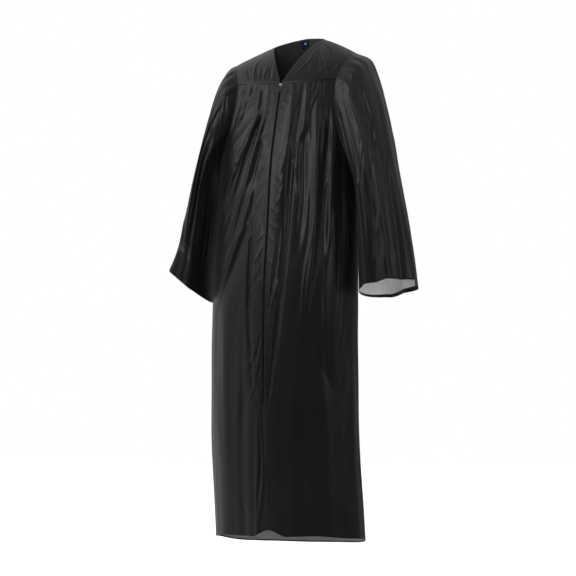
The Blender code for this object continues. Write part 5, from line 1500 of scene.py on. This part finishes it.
class GOWN_OT_zip(bpy.types.Operator):
    """Make the zip's tapes, coil, slider and pull tab"""

    bl_idname = "gown.zip"
    bl_label = "Zip"

    def execute(self, context):
        self.tapes()
        self.coil()
        self.slider()
        self.pull_tab()
        return {"FINISHED"}

    def tapes(self):
        """Two tapes that step back behind the coil, where their edges meet, and run on below its end."""
        heights = np.linspace(SLIDER_Z + SLIDER_TOP, ZIP_BOTTOM - TAPE_BELOW, 264)[:, None]
        across = np.array([TAPE_MIDDLE, 0.0013, 0.0026, 0.0032, 0.0038, 0.0064, 0.0100, TAPE_OUTER])[None, :]
        depth = TAPE_DEPTH + TAPE_STEP_BACK * (1 - fade(0.0026, 0.0038, across))
        for name, side in (("zip_tape_left", 1), ("zip_tape_right", -1)):
            points = along_zip(side * across, heights + 0 * across, depth[..., None])
            piece = sheet_object("woven_" + name, points, tape_weave(), tape_weave(), flip=side > 0)
            dress(piece, [name])

    def coil(self):
        """One turn of the coil, then a copy for every step down the closed zip."""
        bpy.ops.object.select_all(action="DESELECT")
        bpy.ops.mesh.primitive_torus_add(
            major_segments=8, minor_segments=3, major_radius=0.0009, minor_radius=0.00030, rotation=(0, 0, 0)
        )
        turn = bpy.context.object
        ring = np.array([vertex.co for vertex in turn.data.vertices])
        faces = np.array([list(face.vertices) for face in turn.data.polygons])
        bpy.data.objects.remove(turn, do_unlink=True)
        ring = ring * np.array([1.35, 1.0, 1.0])
        heights = np.arange(SLIDER_Z - 0.004, ZIP_BOTTOM + 0.002, -TEETH_STEP)
        points = []
        for i, z in enumerate(heights):
            for side in (1, -1):
                middle = along_zip(side * 0.00085, np.array(z - side * TEETH_STEP / 4), TEETH_DEPTH)
                points.append(ring + middle)
        count = len(points)
        faces = (faces[None] + len(ring) * np.arange(count)[:, None, None]).reshape(-1, faces.shape[1])
        piece = plain_object("coil_zip_teeth", np.concatenate(points), faces, coil_plastic())
        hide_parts("zip_teeth")
        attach(piece, "gown")

    def slider(self):
        metal = slider_metal()
        front = new_block("slider_front", (-0.004, -0.0019, -0.0050), (0.004, -0.0005, 0.0045), metal, 0.0005)
        for vertex in front.data.vertices:
            if vertex.co.z < 0:
                vertex.co.x *= 0.82
        rear = new_block("slider_rear", (-0.004, 0.0031, -0.0050), (0.004, 0.0040, 0.0045), metal)
        post = new_block("slider_post", (-0.0012, -0.0007, 0.0020), (0.0012, 0.0033, 0.0043), metal)
        bpy.ops.object.select_all(action="DESELECT")
        bpy.ops.mesh.primitive_torus_add(
            major_segments=24,
            minor_segments=10,
            major_radius=0.0021,
            minor_radius=0.00045,
            location=(0, -0.0019, 0),
            rotation=(0, math.pi / 2, 0),
        )
        arch = bpy.context.object
        bpy.ops.object.transform_apply(location=True, rotation=True, scale=True)
        bpy.ops.object.mode_set(mode="EDIT")
        bpy.ops.mesh.select_all(action="SELECT")
        bpy.ops.mesh.bisect(plane_co=(0, -0.0013, 0), plane_no=(0, 1, 0), clear_outer=True, use_fill=True)
        bpy.ops.mesh.select_all(action="SELECT")
        bpy.ops.mesh.normals_make_consistent(inside=False)
        bpy.ops.object.mode_set(mode="OBJECT")
        arch.data.materials.append(metal)
        arch.data.shade_smooth()
        bpy.ops.object.select_all(action="DESELECT")
        for part in (arch, rear, post, front):
            part.select_set(True)
        bpy.context.view_layer.objects.active = front
        bpy.ops.object.join()
        front.name = "metal_zip_slider"
        front.data.transform(zip_frame())
        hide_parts("zip_slider")
        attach(front, "gown")

    def pull_tab(self):
        """A flat tab with a square eye and a rounded end."""
        bpy.ops.object.select_all(action="DESELECT")
        bpy.ops.mesh.primitive_grid_add(x_subdivisions=3, y_subdivisions=4, size=2)
        tab = bpy.context.object
        columns = (-0.0026, -0.0015, 0.0015, 0.0026)
        rows = (-0.0200, -0.0062, -0.0040, -0.0004, 0.0007)
        for vertex in tab.data.vertices:
            vertex.co.x, vertex.co.y = columns[round((vertex.co.x + 1) * 1.5)], rows[round((vertex.co.y + 1) * 2)]
        bpy.ops.object.mode_set(mode="EDIT")
        bpy.ops.mesh.select_mode(type="FACE")
        bpy.ops.mesh.select_all(action="DESELECT")
        bpy.ops.object.mode_set(mode="OBJECT")
        for face in tab.data.polygons:
            face.select = abs(face.center.x) < 0.001 and -0.004 < face.center.y < -0.0004
        bpy.ops.object.mode_set(mode="EDIT")
        bpy.ops.mesh.delete(type="FACE")
        bpy.ops.mesh.select_mode(type="VERT")
        bpy.ops.mesh.select_all(action="DESELECT")
        bpy.ops.object.mode_set(mode="OBJECT")
        for vertex in tab.data.vertices:
            vertex.select = vertex.co.y < -0.0199 and abs(vertex.co.x) > 0.0025
        bpy.ops.object.mode_set(mode="EDIT")
        bpy.ops.mesh.bevel(affect="VERTICES", offset=0.0022, segments=6)
        bpy.ops.object.mode_set(mode="OBJECT")
        tab.data.materials.append(pull_enamel())
        wall = tab.modifiers.new("Wall", "SOLIDIFY")
        wall.thickness = 0.0009
        wall.offset = 0
        rounded = tab.modifiers.new("Round", "BEVEL")
        rounded.width = 0.00018
        rounded.segments = 2
        apply_modifiers(tab)
        tab.name = "enamel_zip_pull_tab"
        tab.data.transform(zip_frame() @ Matrix.Translation((0, PIVOT_OUT, 0)) @ Matrix.Rotation(math.pi / 2, 4, "X"))
        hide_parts("zip_pull_tab")
        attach(tab, "pull_tab")


class GOWN_OT_label(bpy.types.Operator):
    """Make the woven label inside the back neck"""

    bl_idname = "gown.label"
    bl_label = "Neck label"

    def execute(self, context):
        yoke, us, vs, angles = yoke_back_points(context.scene.gown_mesh.yoke_steps)
        xs = LABEL_CENTRE_X + LABEL_HALF_WIDTH * np.linspace(-1, 1, 19)
        downs = LABEL_DOWN + LABEL_HEIGHT * np.linspace(0, 1, 17)
        points = np.zeros((len(downs), len(xs), 3))
        for i, x in enumerate(xs):
            column = int(np.searchsorted(yoke[0, :, 0], x)) - 1
            share = (x - yoke[0, column, 0]) / (yoke[0, column + 1, 0] - yoke[0, column, 0])
            line = yoke[:, column] * (1 - share) + yoke[:, column + 1] * share
            lengths = np.concatenate([[0], np.cumsum(np.linalg.norm(np.diff(line, axis=0), axis=1))])
            points[:, i] = np.stack([np.interp(downs, lengths, line[:, k]) for k in range(3)], -1)
        inward = -grid_normals(points, points * 0 + np.array([0, 1.0, 0]))
        curl = 0.0003 * np.sin(np.linspace(0, np.pi, len(xs)))[None, :, None]
        piece = sheet_object("woven_neck_label", points + inward * (0.0024 + curl), label_weave(), label_weave())
        dress(piece, ["neck_label"])
        edge = np.concatenate([points[1, 1:-1], points[1:-1, -2], points[-2, 1:-1][::-1], points[1:-1, 1][::-1]])
        face = np.concatenate([inward[1, 1:-1], inward[1:-1, -2], inward[-2, 1:-1][::-1], inward[1:-1, 1][::-1]])
        stitches("stitches_label", [(edge + face * 0.0026, face)])
        return {"FINISHED"}


class GOWN_OT_stage(bpy.types.Operator):
    """Make the floor, the lights and the camera"""

    bl_idname = "gown.stage"
    bl_label = "Studio"

    def execute(self, context):
        studio = context.scene.gown_studio
        bpy.ops.object.select_all(action="DESELECT")
        bpy.ops.mesh.primitive_plane_add(size=40, location=(0, 0, studio.floor_z))
        floor = context.object
        floor.name = "floor"
        finish, tree, shader = make_material("Floor", (0.85, 0.85, 0.85), 0.9)
        shader.inputs["Emission Color"].default_value = (1, 1, 1, 1)
        shader.inputs["Emission Strength"].default_value = 0.92
        floor.data.materials.append(finish)
        floor.visible_glossy = False
        context.scene.view_settings.view_transform = "Standard"
        self.lights(context, studio)
        self.room(context, studio)
        self.camera(context)
        return {"FINISHED"}

    def lights(self, context, studio):
        centre = Vector((0, 0, -0.6))
        for name, place, size, power in (
            ("left softbox", (-2.6, -1.7, 1.1), (1.8, 1.4), studio.left_power),
            ("right softbox", (2.9, -0.8, 0.2), (1.3, 1.5), studio.right_power),
            ("top softbox", (-0.8, -2.95, 0.75), (1.1, 1.2), studio.top_power),
        ):
            lamp = bpy.data.lights.new(name, "AREA")
            lamp.shape = "RECTANGLE"
            lamp.size, lamp.size_y = size
            lamp.energy = power
            holder = bpy.data.objects.new(name, lamp)
            context.scene.collection.objects.link(holder)
            holder.location = place
            holder.rotation_euler = (Vector(place) - centre).to_track_quat("Z", "Y").to_euler()

    def room(self, context, studio):
        """White behind the gown for the camera; for the cloth a dim room, lighter on the left and above."""
        world = bpy.data.worlds.new("Studio")
        context.scene.world = world
        world.use_nodes = True
        tree = world.node_tree
        room = tree.nodes["Background"]
        place = add_node(tree, "ShaderNodeTexCoord")
        parts = add_node(tree, "ShaderNodeSeparateXYZ")
        tree.links.new(place.outputs["Generated"], parts.inputs["Vector"])
        both = add_node(tree, "ShaderNodeMath", operation="ADD")
        for i, (axis, low, high, dim, bright) in enumerate((("X", -0.25, -0.75, 0.09, 0.38), ("Z", 0.15, 0.60, 0.0, 0.30))):
            ramp = add_node(tree, "ShaderNodeMapRange")
            for name, value in (("From Min", low), ("From Max", high), ("To Min", dim), ("To Max", bright)):
                ramp.inputs[name].default_value = value
            tree.links.new(parts.outputs[axis], ramp.inputs["Value"])
            tree.links.new(ramp.outputs["Result"], both.inputs[i])
        tree.links.new(both.outputs["Value"], room.inputs["Color"])
        room.inputs["Strength"].default_value = studio.ambient
        seen = add_node(tree, "ShaderNodeBackground", Color=(1, 1, 1, 1), Strength=studio.backdrop)
        path = add_node(tree, "ShaderNodeLightPath")
        mix = add_node(tree, "ShaderNodeMixShader")
        tree.links.new(path.outputs["Is Camera Ray"], mix.inputs["Fac"])
        tree.links.new(room.outputs["Background"], mix.inputs[1])
        tree.links.new(seen.outputs["Background"], mix.inputs[2])
        tree.links.new(mix.outputs["Shader"], tree.nodes["World Output"].inputs["Surface"])

    def camera(self, context):
        turn, lift = math.radians(CAMERA_AZIMUTH), math.radians(CAMERA_ELEVATION)
        back = Vector((math.sin(turn) * math.cos(lift), -math.cos(turn) * math.cos(lift), math.sin(lift)))
        right = Vector((math.cos(turn), math.sin(turn), 0))
        up = back.cross(right)
        target = right * CAMERA_RIGHT + up * CAMERA_UP
        lens = bpy.data.cameras.new("camera")
        lens.sensor_width = SENSOR
        lens.lens = SENSOR * CAMERA_DISTANCE / FRAME_WIDTH
        lens.clip_end = 100
        camera = bpy.data.objects.new("camera", lens)
        context.scene.collection.objects.link(camera)
        camera.matrix_world = Matrix.Translation(target + back * CAMERA_DISTANCE) @ Matrix((right, up, back)).transposed().to_4x4()
        context.scene.camera = camera


class GOWN_PT_panel(bpy.types.Panel):
    """Lists the gown's sizes and pieces"""

    bl_idname = "GOWN_PT_panel"
    bl_label = "Graduation Gown"
    bl_space_type = "VIEW_3D"
    bl_region_type = "UI"
    bl_category = "Gown"

    def draw(self, context):
        layout = self.layout
        for group in ("gown_cloth", "gown_mesh", "gown_stitching", "gown_studio"):
            settings = getattr(context.scene, group)
            box = layout.box()
            for name in settings.__annotations__:
                box.prop(settings, name)
        for operator in OPERATORS:
            layout.operator(operator.bl_idname)


GROUPS = (
    ("gown_cloth", GownCloth),
    ("gown_mesh", GownMesh),
    ("gown_stitching", GownStitching),
    ("gown_studio", GownStudio),
)
OPERATORS = (
    GOWN_OT_stage,
    GOWN_OT_fronts,
    GOWN_OT_back,
    GOWN_OT_yokes,
    GOWN_OT_sleeves,
    GOWN_OT_stitching,
    GOWN_OT_zip,
    GOWN_OT_label,
)


def register():
    for name, group in GROUPS:
        bpy.utils.register_class(group)
        setattr(bpy.types.Scene, name, PointerProperty(type=group))
    for operator in OPERATORS:
        bpy.utils.register_class(operator)
    bpy.utils.register_class(GOWN_PT_panel)


def unregister():
    bpy.utils.unregister_class(GOWN_PT_panel)
    for operator in reversed(OPERATORS):
        bpy.utils.unregister_class(operator)
    for name, group in reversed(GROUPS):
        delattr(bpy.types.Scene, name)
        bpy.utils.unregister_class(group)


def main():
    register()
    bpy.ops.gown.stage()
    bpy.ops.gown.fronts()
    bpy.ops.gown.back()
    bpy.ops.gown.yokes()
    bpy.ops.gown.sleeves()
    bpy.ops.gown.stitching()
    bpy.ops.gown.zip()
    bpy.ops.gown.label()


if __name__ == "__main__":
    main()
